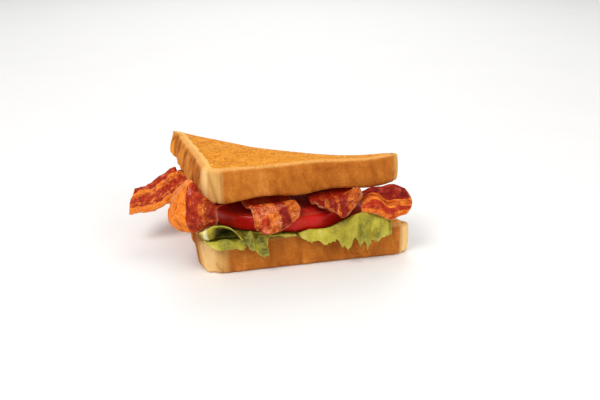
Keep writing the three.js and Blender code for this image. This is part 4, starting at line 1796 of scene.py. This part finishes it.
@dataclass(frozen=True)
class Strewing:
    """Small grains strewn over a piece by a node tree.

    Attributes:
        name: Of the new piece.
        mask: The attribute of the host that says where grains lie.
        count: Grains for each square metre.
        smallest: Radius of the smallest grain, in millimetres.
        largest: Radius of the largest one.
        flatness: Height of a grain over its width.
        sink: How far a grain is sunk in the host, in its own radii.
        seed: Of the draw.
        lengths: Least and most that a grain's length is of its width.
    """

    name: str
    mask: str
    count: float
    smallest: float
    largest: float
    flatness: float
    sink: float
    seed: int
    lengths: Spot = (0.75, 1.3)

    def _tree(self, material: Material) -> tuple[bpy.types.NodeTree, dict[str, str]]:
        """Builds the node tree.

        Args:
            material: For the grains.

        Returns:
            The tree, and its inputs' identifiers by name.
        """
        tree = bpy.data.node_groups.new(self.name, "GeometryNodeTree")
        tree.interface.new_socket("Geometry", in_out="INPUT", socket_type="NodeSocketGeometry")
        kinds = {"Grains": "Float", "Smallest": "Float", "Largest": "Float", "Seed": "Int"}
        named = {}
        for key, kind in kinds.items():
            socket = tree.interface.new_socket(key, in_out="INPUT", socket_type="NodeSocket" + kind)
            named[key] = socket.identifier
        tree.interface.new_socket("Geometry", in_out="OUTPUT", socket_type="NodeSocketGeometry")

        def add(
            kind: str, values: dict[str | int, object], settings: dict[str, object] | None = None
        ) -> bpy.types.bpy_prop_collection:
            """Adds a node.

            Args:
                kind: The node's type.
                values: Numbers or other nodes' sockets for its inputs.
                settings: Its properties, set first.

            Returns:
                Its output sockets.
            """
            node = tree.nodes.new(kind)
            for key, value in (settings or {}).items():
                setattr(node, key, value)
            for key, value in values.items():
                if isinstance(value, bpy.types.NodeSocket):
                    tree.links.new(value, node.inputs[key])
                else:
                    node.inputs[key].default_value = value
            return node.outputs

        number = {"data_type": "FLOAT"}
        product = {"operation": "MULTIPLY"}
        given = add("NodeGroupInput", {})
        mask = add("GeometryNodeInputNamedAttribute", {"Name": self.mask}, number)
        density = add("ShaderNodeMath", {0: given["Grains"], 1: mask["Attribute"]}, product)
        where = {"Mesh": given["Geometry"], "Density": density[0], "Seed": given["Seed"]}
        strewn = add("GeometryNodeDistributePointsOnFaces", where)
        grain = add("GeometryNodeMeshIcoSphere", {"Radius": 1.0, "Subdivisions": 1})
        radii = {RANDOM_LEAST: given["Smallest"], RANDOM_MOST: given["Largest"], "Seed": given["Seed"]}
        size = add("FunctionNodeRandomValue", radii, number)[RANDOM_RESULT]
        lengths = {RANDOM_LEAST: self.lengths[0], RANDOM_MOST: self.lengths[1]}
        long_way = add("FunctionNodeRandomValue", lengths, number)[RANDOM_RESULT]
        shape = add("ShaderNodeCombineXYZ", {"X": 1.0, "Y": long_way, "Z": self.flatness})
        scaled = add("ShaderNodeVectorMath", {0: shape[0], "Scale": size}, {"operation": "SCALE"})
        spin = add("FunctionNodeRandomValue", {RANDOM_MOST: 2 * math.pi}, number)[RANDOM_RESULT]
        about = add("ShaderNodeCombineXYZ", {"Z": spin})
        locally = {"rotation_type": "EULER", "space": "LOCAL"}
        turned = add("FunctionNodeRotateEuler", {0: strewn["Rotation"], 1: about[0]}, locally)
        each = {"Points": strewn["Points"], "Instance": grain["Mesh"], "Rotation": turned[0]}
        instances = add("GeometryNodeInstanceOnPoints", each | {"Scale": scaled[0]})
        down = add("ShaderNodeMath", {0: size, 1: -self.sink * self.flatness}, product)
        shift = add("ShaderNodeCombineXYZ", {"Z": down[0]})
        moved = add("GeometryNodeTranslateInstances", {"Instances": instances[0], "Translation": shift[0]})
        real = add("GeometryNodeRealizeInstances", {"Geometry": moved[0]})
        dressed = add("GeometryNodeSetMaterial", {"Geometry": real[0], "Material": material})
        add("NodeGroupOutput", {0: dressed[0]})
        return tree, named

    def build(self, host: Object, material: Material) -> Object:
        """Strews the grains.

        Args:
            host: The piece that they lie on.
            material: For the grains.

        Returns:
            The grains as one plain mesh object.
        """
        source = add_object(self.name + "_source", host.data)
        tree, named = self._tree(material)
        modifier = source.modifiers.new("Strewing", "NODES")
        modifier.node_group = tree
        modifier[named["Grains"]] = self.count
        modifier[named["Smallest"]] = self.smallest * MM
        modifier[named["Largest"]] = self.largest * MM
        modifier[named["Seed"]] = self.seed
        evaluated = source.evaluated_get(bpy.context.evaluated_depsgraph_get())
        mesh = bpy.data.meshes.new_from_object(evaluated)
        source.modifiers.remove(modifier)
        bpy.data.objects.remove(source)
        mesh.name = self.name
        mesh.shade_smooth()
        return add_object(self.name, mesh)


# ---- Sub-assemblies ------------------------------------------------------------------


@dataclass
class Piece:
    """A finished piece and what it stands for.

    Attributes:
        obj: The mesh object.
        slot: Its material slot.
        replaces: The CAD node that it replaces, if any.
    """

    obj: Object
    slot: str
    replaces: str | None = None

    def settle(self) -> None:
        """Hands the piece to the frame."""
        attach(self.obj, BODY)
        if self.replaces:
            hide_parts(self.replaces)
        self.obj.data.calc_loop_triangles()
        LOG.info("%s: %d triangles", self.obj.name, len(self.obj.data.loop_triangles))


def dress(obj: Object, material: Material) -> None:
    """Gives a mesh its only material."""
    obj.data.materials.clear()
    obj.data.materials.append(material)


class Shape(Protocol):
    """What makes one piece of the sandwich.

    Attributes:
        name: Of the piece, and of the CAD node that it replaces.
    """

    name: str

    def build(self) -> Object:
        """Makes the piece's mesh object."""


def finished(shape: Shape, material: Material, slot: str) -> Piece:
    """Makes a piece that replaces the CAD node of its name.

    Args:
        shape: Makes its mesh.
        material: Its only material.
        slot: Its material slot.

    Returns:
        The piece.
    """
    obj = shape.build()
    dress(obj, material)
    return Piece(obj, slot, shape.name)


BOTTOM = BreadSlice(
    name="bread_bottom",
    legs=(LAYOUT.slice_leg, LAYOUT.slice_leg),
    thick=LAYOUT.bottom_thick,
    soft=False,
    border=(2.0, 1.4),
    corner_tones=((0, 0), (0.16, 0.35), (0.3, 0.8), (0.5, 1), (0.74, 0.9), (0.9, 0.5), (1, 0.38)),
    end_paleness=(0.95, 0.05),
    fade=6.5,
    glow=(0.0, 0.0),
    face_rings=(30, 24),
    lean=(1.3, 0.0),
    taper=0.0,
    seed=11,
    smudges=0.8,
)
TOP = BreadSlice(
    name="bread_top",
    legs=LAYOUT.top_leg,
    thick=14.3,
    soft=True,
    border=(4.8, 1.2),
    corner_tones=((0.1, 0), (0.28, 0.4), (0.4, 0.85), (0.54, 1), (0.61, 0.58), (0.9, 0.5), (1, 0.28)),
    end_paleness=(0.42, 0.3),
    fade=2.6,
    glow=(0.8, 0.22),
    face_rings=(24, 62),
    lean=(0.0, 3.6),
    taper=0.014,
    seed=12,
    smudges=0.25,
)


@dataclass
class Bread:
    """The two half slices of toast, and the crumbs on the top one.

    Attributes:
        finish: Of both slices.
        halves: The bottom and the top slice.
        crumbs: On the toasted face and on the cut.
    """

    finish: ToastFinish = ToastFinish()
    halves: tuple[BreadSlice, BreadSlice] = (BOTTOM, TOP)
    crumbs: tuple[Strewing, ...] = (
        Strewing("toast_crumbs", "crumbly", 260000.0, 0.16, 0.42, 0.6, 0.35, 21),
        Strewing("cut_crumbs", "cut", 240000.0, 0.14, 0.36, 0.7, 0.3, 22),
    )

    def build(self) -> list[Piece]:
        """Makes the slices and the crumbs.

        Returns:
            The pieces, in order.
        """
        toast = self.finish.build()
        golden = PlainFinish("golden_crumb", (paint(236, 152, 50), paint(250, 192, 96)), 2.0, 0.7).build()
        pale = PlainFinish("pale_crumb", (paint(222, 196, 150), paint(244, 228, 196)), 2.0, 0.75).build()
        pieces = [finished(half, toast, "toast") for half in self.halves]
        upper = pieces[-1].obj
        for crumbs, material in zip(self.crumbs, (golden, pale)):
            pieces.append(Piece(crumbs.build(upper, material), "toast"))
        return pieces


LEAN, MIXED, FAT = Meat
STRIPS = (
    BaconStrip(
        name="bacon_strip_left",
        rails=[
            [[41.5, 70.5, 12.4], [20, 69, 12.9], [1.5, 69, 14], [-4.5, 66, 18.4], [-10.5, 64.5, 13.4],
             [-17.6, 60.5, 12.2], [-22.6, 58, 10.4], [-27, 56, 9.5]],
            [[52.5, 59.5, 12.4], [24, 57.5, 12.7], [2, 58, 12.9], [-4.4, 57.5, 13.2], [-10, 54.5, 9.8],
             [-17.8, 51.5, 8.4], [-24.2, 50, 6.3], [-30, 49.5, 5.6]],
            [[63.5, 48.5, 12.4], [28, 46, 12.5], [2, 46, 12.3], [-4, 45.5, 8.8], [-10.4, 43.5, 4.2],
             [-18, 42, 3.4], [-24.6, 42, 1.7], [-31.4, 42.5, 1.8]],
        ],
        run=(1, 0),
        pitch=15,
        ripple=(2, 0.45),
        bands=(
            Band(0.22, LEAN, 0.75), Band(0.32, FAT, 0.9), Band(0.48, MIXED, 0.8), Band(0.66, LEAN, 1.0),
            Band(0.74, MIXED, 0.9), Band(0.8, LEAN, 0.7), Band(1, FAT, 1.0),
        ),
        seed=31,
    ),
    BaconStrip(
        name="bacon_strip_corner",
        rails=[
            [[10, 42, 14.8], [3, 38, 16.6], [-2.8, 33, 18.8], [-7, 22.5, 20.4], [-10.4, 13.5, 20.6],
             [-12.6, 9, 17.6], [-13.6, 6.2, 12.6], [-12.1, 8, 8.2]],
            [[11.6, 33, 14.8], [5.5, 27, 16.4], [-0.8, 22.5, 18], [-3.8, 16, 26], [-7.6, 8, 25.4],
             [-9.6, 3, 19.6], [-10.2, 0.6, 13.4], [-8.4, 1.6, 7.8]],
            [[14, 26, 14.8], [8, 19, 16.4], [1.8, 13.6, 17.8], [-0.7, 9, 29.2], [-4.4, 3.4, 26.4],
             [-6, -1, 19.4], [-6.2, -2.4, 13.4], [-4.4, -1.4, 8]],
            [[16.8, 20.5, 14.8], [11.5, 13.5, 16.3], [5.2, 8.2, 17], [1, 3.6, 25], [-1.2, -0.8, 22.4],
             [-1.8, -3.2, 17.4], [-1.6, -3.4, 12.6], [-0.6, -2, 8.8]],
            [[19, 17, 14.8], [15.5, 11, 16], [11.5, 6.4, 16.8], [8.8, 0.8, 17.8], [8.2, -2, 17.4],
             [8.4, -3.2, 15.6], [8.6, -3.2, 13.4], [7.8, -2.2, 11.4]],
        ],
        run=(1, 0),
        pitch=17,
        ripple=(0.3, 0.2),
        bands=(
            Band(0.5, FAT, 0.9), Band(0.76, LEAN, 0.6), Band(0.87, MIXED, 0.3), Band(1, LEAN, 0.2),
        ),
        seed=32,
    ),
    BaconStrip(
        name="bacon_strip_front",
        rails=[
            [[22, 37, 13], [21.6, 20, 14], [23.5, 8, 14.9], [24.6, 0, 15.8], [25.1, -4.5, 14],
             [25.6, -6, 8.8]],
            [[30, 38, 13], [30, 20, 14.2], [30, 7, 15.1], [30.3, -2.2, 16.2], [30.5, -6.4, 12.5],
             [30.6, -7, 5.7]],
            [[39, 38, 13], [39, 20, 14.5], [39, 7, 15.2], [39.3, -1.5, 16.4], [39.6, -6, 13],
             [39.2, -7, 7.2]],
            [[47, 38, 13], [47, 20, 14], [47, 8, 15], [47.5, 1, 16.6], [48.2, -4.5, 16.5],
             [47, -6, 12.8]],
        ],
        run=(0, 1),
        pitch=15,
        ripple=(1.2, 0.3),
        bands=(
            Band(0.18, MIXED, 0.4), Band(0.34, LEAN, 0.75), Band(0.54, MIXED, 0.5), Band(0.6, FAT, 0.2),
            Band(0.8, LEAN, 0.1), Band(1, FAT, 0.3),
        ),
        phase=1.0,
        seed=33,
        sizzle=1.0,
    ),
    BaconStrip(
        name="bacon_strip_middle",
        rails=[
            [[67, 44, 12.6], [59, 28, 13.5], [56, 14, 13.9], [55.8, 4, 15.2], [56, -2.3, 16.6],
             [57.6, -5, 15.8]],
            [[72, 38, 12.7], [65, 22, 14.5], [63.6, 10, 15.2], [63.6, 0, 17], [64, -4.8, 16],
             [65, -6.2, 13.2]],
            [[76, 35, 13], [71, 20, 15], [69.8, 9, 16.2], [69.6, 0, 17.4], [69.8, -5, 14.5],
             [70, -6.4, 10.2]],
            [[81.5, 30, 14.2], [79.8, 19, 16.2], [79.4, 9.5, 17.4], [79.6, 3.6, 20.8], [79.8, -1, 20],
             [79.4, -3.4, 18.4]],
        ],
        run=(0, 1),
        pitch=13,
        ripple=(2, 0.25),
        bands=(
            Band(0.2, LEAN, 0.0), Band(0.3, FAT, 0.1), Band(0.48, LEAN, 0.1), Band(0.6, MIXED, 0.4),
            Band(0.78, LEAN, 0.2), Band(0.86, MIXED, 0.3), Band(1, FAT, 0.25),
        ),
        phase=2.2,
        seed=34,
    ),
    BaconStrip(
        name="bacon_strip_right",
        rails=[
            [[84.5, 17, 12], [90, 14, 12.4], [97.5, 9, 14.4], [102.5, 6.5, 17.4]],
            [[81.8, 3.4, 18.2], [88, 3.8, 19.4], [96.5, 4, 20], [104.8, 3.8, 17.4]],
            [[80.6, 1.2, 16.8], [88, 1.4, 16.9], [94.5, 1.2, 13.4], [106.8, 0.8, 13.6]],
            [[78.8, -2.2, 14.4], [86.5, -3.8, 15.2], [94, -4.4, 11.4], [106, -2.4, 11]],
            [[79.4, -4, 11.8], [86, -5, 9], [94, -5.4, 6.1], [102.6, -4.2, 7.4]],
        ],
        run=(1, 0),
        pitch=12,
        ripple=(0.6, 0.25),
        bands=(
            Band(0.48, LEAN, 0.2), Band(0.52, FAT, 0.9), Band(0.68, MIXED, 0.55), Band(0.72, FAT, 0.8),
            Band(0.86, LEAN, 0.9), Band(1, MIXED, 0.9),
        ),
        seed=35,
    ),
    BaconStrip(
        name="bacon_strip_back",
        rails=[
            [[15, 96, 11.9], [3, 96, 12.1]],
            [[31.5, 79.5, 12.1], [2, 77, 12.4]],
        ],
        run=(1, 0),
        pitch=14,
        ripple=(1.4, 1.0),
        bands=(Band(0.3, FAT, 0.6), Band(0.55, LEAN, 0.3), Band(0.7, FAT, 0.5), Band(1, LEAN, 0.5)),
        seed=36,
        sizzle=0.0,
    ),
)


@dataclass
class Bacon:
    """The six strips of fried bacon, and beads of hot fat on them.

    Attributes:
        finish: Of all the strips.
        strips: Each through its own places.
        beads: How the beads are strewn on the first strip. The others' names end in their
            strip's, and their seeds follow on.
    """

    finish: BaconFinish = BaconFinish()
    strips: tuple[BaconStrip, ...] = STRIPS
    beads: Strewing = Strewing("grease_", "sizzle", 1500000.0, 0.12, 0.32, 0.6, 0.2, 60)

    def build(self) -> list[Piece]:
        """Makes the strips and their beads.

        Returns:
            The pieces, in order.
        """
        material = self.finish.build()
        bead = PlainFinish("grease_bead", (paint(222, 104, 44), paint(252, 196, 140)), 1.2, 0.2, 0.6).build()
        pieces = []
        for number, strip in enumerate(self.strips):
            piece = finished(strip, material, "bacon")
            pieces.append(piece)
            if strip.sizzle > 0:
                name = self.beads.name + strip.name
                beads = replace(self.beads, name=name, seed=self.beads.seed + number)
                pieces.append(Piece(beads.build(piece.obj, bead), "bacon"))
        return pieces


@dataclass
class Tomato:
    """The two slices of tomato, and seeds in the larger one's cut.

    Attributes:
        finish: Of both slices.
        slices: The large one and the one at the back.
        seeds: In the large one's cut face.
    """

    finish: TomatoFinish = TomatoFinish()
    slices: tuple[TomatoSlice, ...] = (
        TomatoSlice("tomato_slice", (50, 34), (42, 34), 5, 0.6, 41),
        TomatoSlice("tomato_slice_back", (19, 86), (17, 15), 4, 2.1, 42, steps=240),
    )
    seeds: Strewing = Strewing("tomato_seeds", "seeded", 120000.0, 0.7, 1.1, 0.4, 0.3, 23)

    def build(self) -> list[Piece]:
        """Makes the slices and the seeds.

        Returns:
            The pieces, in order.
        """
        material = self.finish.build()
        seed = PlainFinish("tomato_seed", (paint(226, 168, 84), paint(244, 206, 132)), 1.0, 0.3, 0.5).build()
        pieces = [finished(one, material, "tomato") for one in self.slices]
        pieces.append(Piece(self.seeds.build(pieces[0].obj, seed), "tomato"))
        return pieces


# Heights of the lower leaves' and of the upper leaf's flat part.
LOW, HIGH = 0.75, 1.9
LEAVES = (
    LettuceLeaf(
        name="lettuce_leaf_left",
        back=[[2.5, 107.5, LOW], [13, 99, LOW], [24.5, 87.5, LOW], [35.5, 76.5, LOW], [46.2, 66, LOW]],
        lip=[[2.5, 1, LOW], [12, 0.5, LOW], [22.5, 0.5, LOW], [32, 0.2, LOW], [46, -1.2, LOW]],
        face=[[1.6, -2.2, 3.4], [5, -3.4, 2.6], [12, -3.6, 2.2], [19.4, -3.2, 1], [24, -2.8, 5.4],
              [27.6, -3.2, 0.3], [31.4, -2.2, 2.4], [37, -2, 2.6], [46.4, -2.4, 2.2]],
        rim=[[1.8, -3.2, 3.8], [2.6, -4.2, 1.8], [4.6, -4.6, -1], [7.5, -4.7, -2.1], [12, -4.7, -1.8],
             [16.3, -4.7, -2.1], [19.9, -4.6, -3.8], [21.3, -3.8, 0.3], [22.8, -4.2, -2.8],
             [26, -4.6, -5.9], [29.5, -4.7, -8.4], [32.9, -4.5, -7.6], [31.9, -3.6, -1],
             [33.5, -2.8, 2.4], [37.5, -2.9, 2.2], [42, -3, 0.6], [46.6, -3.2, 1.8]],
        ribs=(),
        tones=(
            (0.0, 0.2), (0.12, 0.35), (0.25, 0.05), (0.38, -0.1), (0.5, -0.6), (0.68, -0.8),
            (0.75, 0.2), (1.0, 0.3),
        ),
        ruffle=1.0,
        frill=0.6,
        folds=4,
        tooth=0.1,
        seed=51,
    ),
    LettuceLeaf(
        name="lettuce_leaf_left_upper",
        back=[[3, 14, HIGH], [7.5, 13, HIGH], [11.5, 12, HIGH], [15.5, 9, HIGH], [19.5, 7, HIGH]],
        lip=[[2, 2, HIGH], [6.5, 1.7, HIGH], [11, 1.5, HIGH], [15.5, 1.2, HIGH], [19.8, 1, HIGH]],
        face=[[0.3, -2.6, 5], [5, -3, 5.6], [11, 1.8, 5.6], [15.5, 3.4, 4.9], [19.4, -0.8, 3.2]],
        rim=[[-0.8, -3.2, 8.2], [2.1, -3.8, 9.7], [5, -4.2, 11], [7.4, -4.4, 11.8], [11.5, -4.7, 10.2],
             [15, -4.9, 8.8], [17.2, -5, 5.8], [18.8, -5, 3.8], [20.1, -4.8, 2.8]],
        ribs=(0.11,),
        tones=((0.0, 0.3), (0.25, -0.1), (0.6, -0.5), (1.0, 0.4)),
        curl=(0.14, 0.95),
        rib_width=2.6,
        fold_depth=(0.2, 6.5),
        ruffle=0.0,
        frill=0.3,
        folds=3,
        tooth=0.06,
        seed=52,
    ),
    LettuceLeaf(
        name="lettuce_leaf_right",
        back=[[47.5, 64.7, LOW], [60, 52.2, LOW], [72.5, 39.7, LOW], [86, 26.2, LOW], [100, 12, LOW]],
        lip=[[47.4, -1.2, LOW], [61, -0.4, LOW], [74, 0.8, LOW], [86, 1, LOW], [96.5, 2, LOW]],
        face=[[47.9, -2.4, 2.6], [53, -2.9, 3.2], [60, -3, 2.8], [66, -3.2, 4.4], [73.5, -3.4, 7.2],
              [79, -3.4, 10], [86, -3.4, 8], [91.5, -3.2, 6.2], [94.6, -3, 3.2]],
        rim=[[48, -3.2, 1.2], [50.3, -3.8, -1.2], [54, -4.5, -2.9], [58, -4.7, -3.2], [61.5, -4.9, -6.2],
             [65.6, -4.7, -5], [67, -4.5, -3.5], [69.4, -4.9, -7.2], [71.6, -5.3, -8.9],
             [74.3, -5.1, -7.6], [76.5, -4.9, -7.2], [79.5, -5.1, -7.6], [82.4, -5.3, -9.7],
             [84, -4.9, -6.2], [90, -4.5, -5.6], [94.4, -4.1, -4.5], [95, -3.4, -2]],
        ribs=(),
        tones=(
            (0.0, 0.1), (0.08, 0.7), (0.2, 0.6), (0.3, 0.1), (0.44, 0.0), (0.5, 1.0), (0.56, 0.8),
            (0.62, 0.3), (0.8, 0.6), (1.0, 0.6),
        ),
        fold_depth=(0.65, 7.5),
        ruffle=1.0,
        frill=0.8,
        folds=6,
        tooth=0.12,
        seed=53,
    ),
)


@dataclass
class Lettuce:
    """The three leaves of lettuce.

    Attributes:
        finish: Of all the leaves.
        leaves: Each through its own places.
    """

    finish: LettuceFinish = LettuceFinish()
    leaves: tuple[LettuceLeaf, ...] = LEAVES

    def build(self) -> list[Piece]:
        """Makes the leaves.

        Returns:
            The pieces, in order.
        """
        material = self.finish.build()
        return [finished(leaf, material, "lettuce") for leaf in self.leaves]


# ---- Studio --------------------------------------------------------------------------


@dataclass(frozen=True)
class Lamp:
    """A soft square light that looks at the sandwich.

    Attributes:
        name: Of the light.
        place: Where it hangs, in metres.
        size: Of its sides, in metres.
        power: In watts.
        colour: Of its light.
    """

    name: str
    place: tuple[float, float, float]
    size: float
    power: float
    colour: Colour

    def build(self) -> None:
        """Adds the light."""
        data = bpy.data.lights.new(self.name, "AREA")
        data.shape = "SQUARE"
        data.size = self.size
        data.energy = self.power
        data.color = self.colour
        light = add_object(self.name, data)
        light.location = self.place
        light.rotation_euler = (-Vector(self.place)).to_track_quat("-Z", "Y").to_euler()


@dataclass
class Studio:
    """A pale floor, soft light and the photograph's viewpoint.

    Attributes:
        eye: The camera's place in millimetres, with its height above the bottom slice.
        forward: Its direction of view.
        lens: Its focal length in millimetres.
        floor_radius: In metres.
        world: Strength of the even light from all round.
        lamps: The key, the fill and the back light.
    """

    eye: tuple[float, float, float] = (-37.14, -350.6, 165.79)
    forward: tuple[float, float, float] = (0.22095, 0.89918, -0.3777)
    lens: float = 48.44
    floor_radius: float = 3.0
    world: float = 0.5
    lamps: tuple[Lamp, ...] = (
        Lamp("key", (-0.46, -0.4, 0.82), 0.4, 5.8, (1.0, 0.97, 0.93)),
        Lamp("fill", (0.7, -0.6, 0.55), 0.7, 3.5, (1.0, 0.98, 0.96)),
        Lamp("back", (0.2, 0.8, 0.7), 0.7, 3.5, (1.0, 1.0, 1.0)),
    )

    def _camera(self) -> None:
        """Adds the camera."""
        data = bpy.data.cameras.new("camera")
        data.lens = self.lens
        data.clip_start = 0.01
        camera = add_object("camera", data)
        camera.location = LAYOUT.to_frame(np.array(self.eye))
        camera.rotation_euler = Vector(self.forward).to_track_quat("-Z", "Y").to_euler()
        bpy.context.scene.camera = camera

    def _floor(self) -> None:
        """Adds the floor, just under the bread."""
        angle = np.linspace(0, 2 * math.pi, 64, endpoint=False)
        ring = [(self.floor_radius * math.cos(a), self.floor_radius * math.sin(a), 0.0) for a in angle]
        mesh = bpy.data.meshes.new("floor")
        mesh.from_pydata(ring, [], [tuple(range(len(ring)))])
        floor = add_object("floor", mesh)
        dress(floor, PlainFinish("floor", (paint(240, 240, 240), paint(244, 244, 243)), 60.0, 0.6).build())

    def build(self) -> None:
        """Sets up the studio."""
        self._camera()
        self._floor()
        for lamp in self.lamps:
            lamp.build()
        world = bpy.data.worlds.new("world")
        world.use_nodes = True
        background = world.node_tree.nodes["Background"]
        background.inputs["Color"].default_value = (1.0, 1.0, 1.0, 1.0)
        background.inputs["Strength"].default_value = self.world
        bpy.context.scene.world = world
        bpy.context.scene.view_settings.view_transform = "Standard"


def main() -> None:
    """Builds the sandwich's pieces in order, and the studio round them."""
    logging.basicConfig(level=logging.INFO, format="%(message)s")
    for part in (Bread(), Lettuce(), Tomato(), Bacon()):
        for piece in part.build():
            piece.settle()
    Studio().build()


if __name__ == "__main__":
    main()
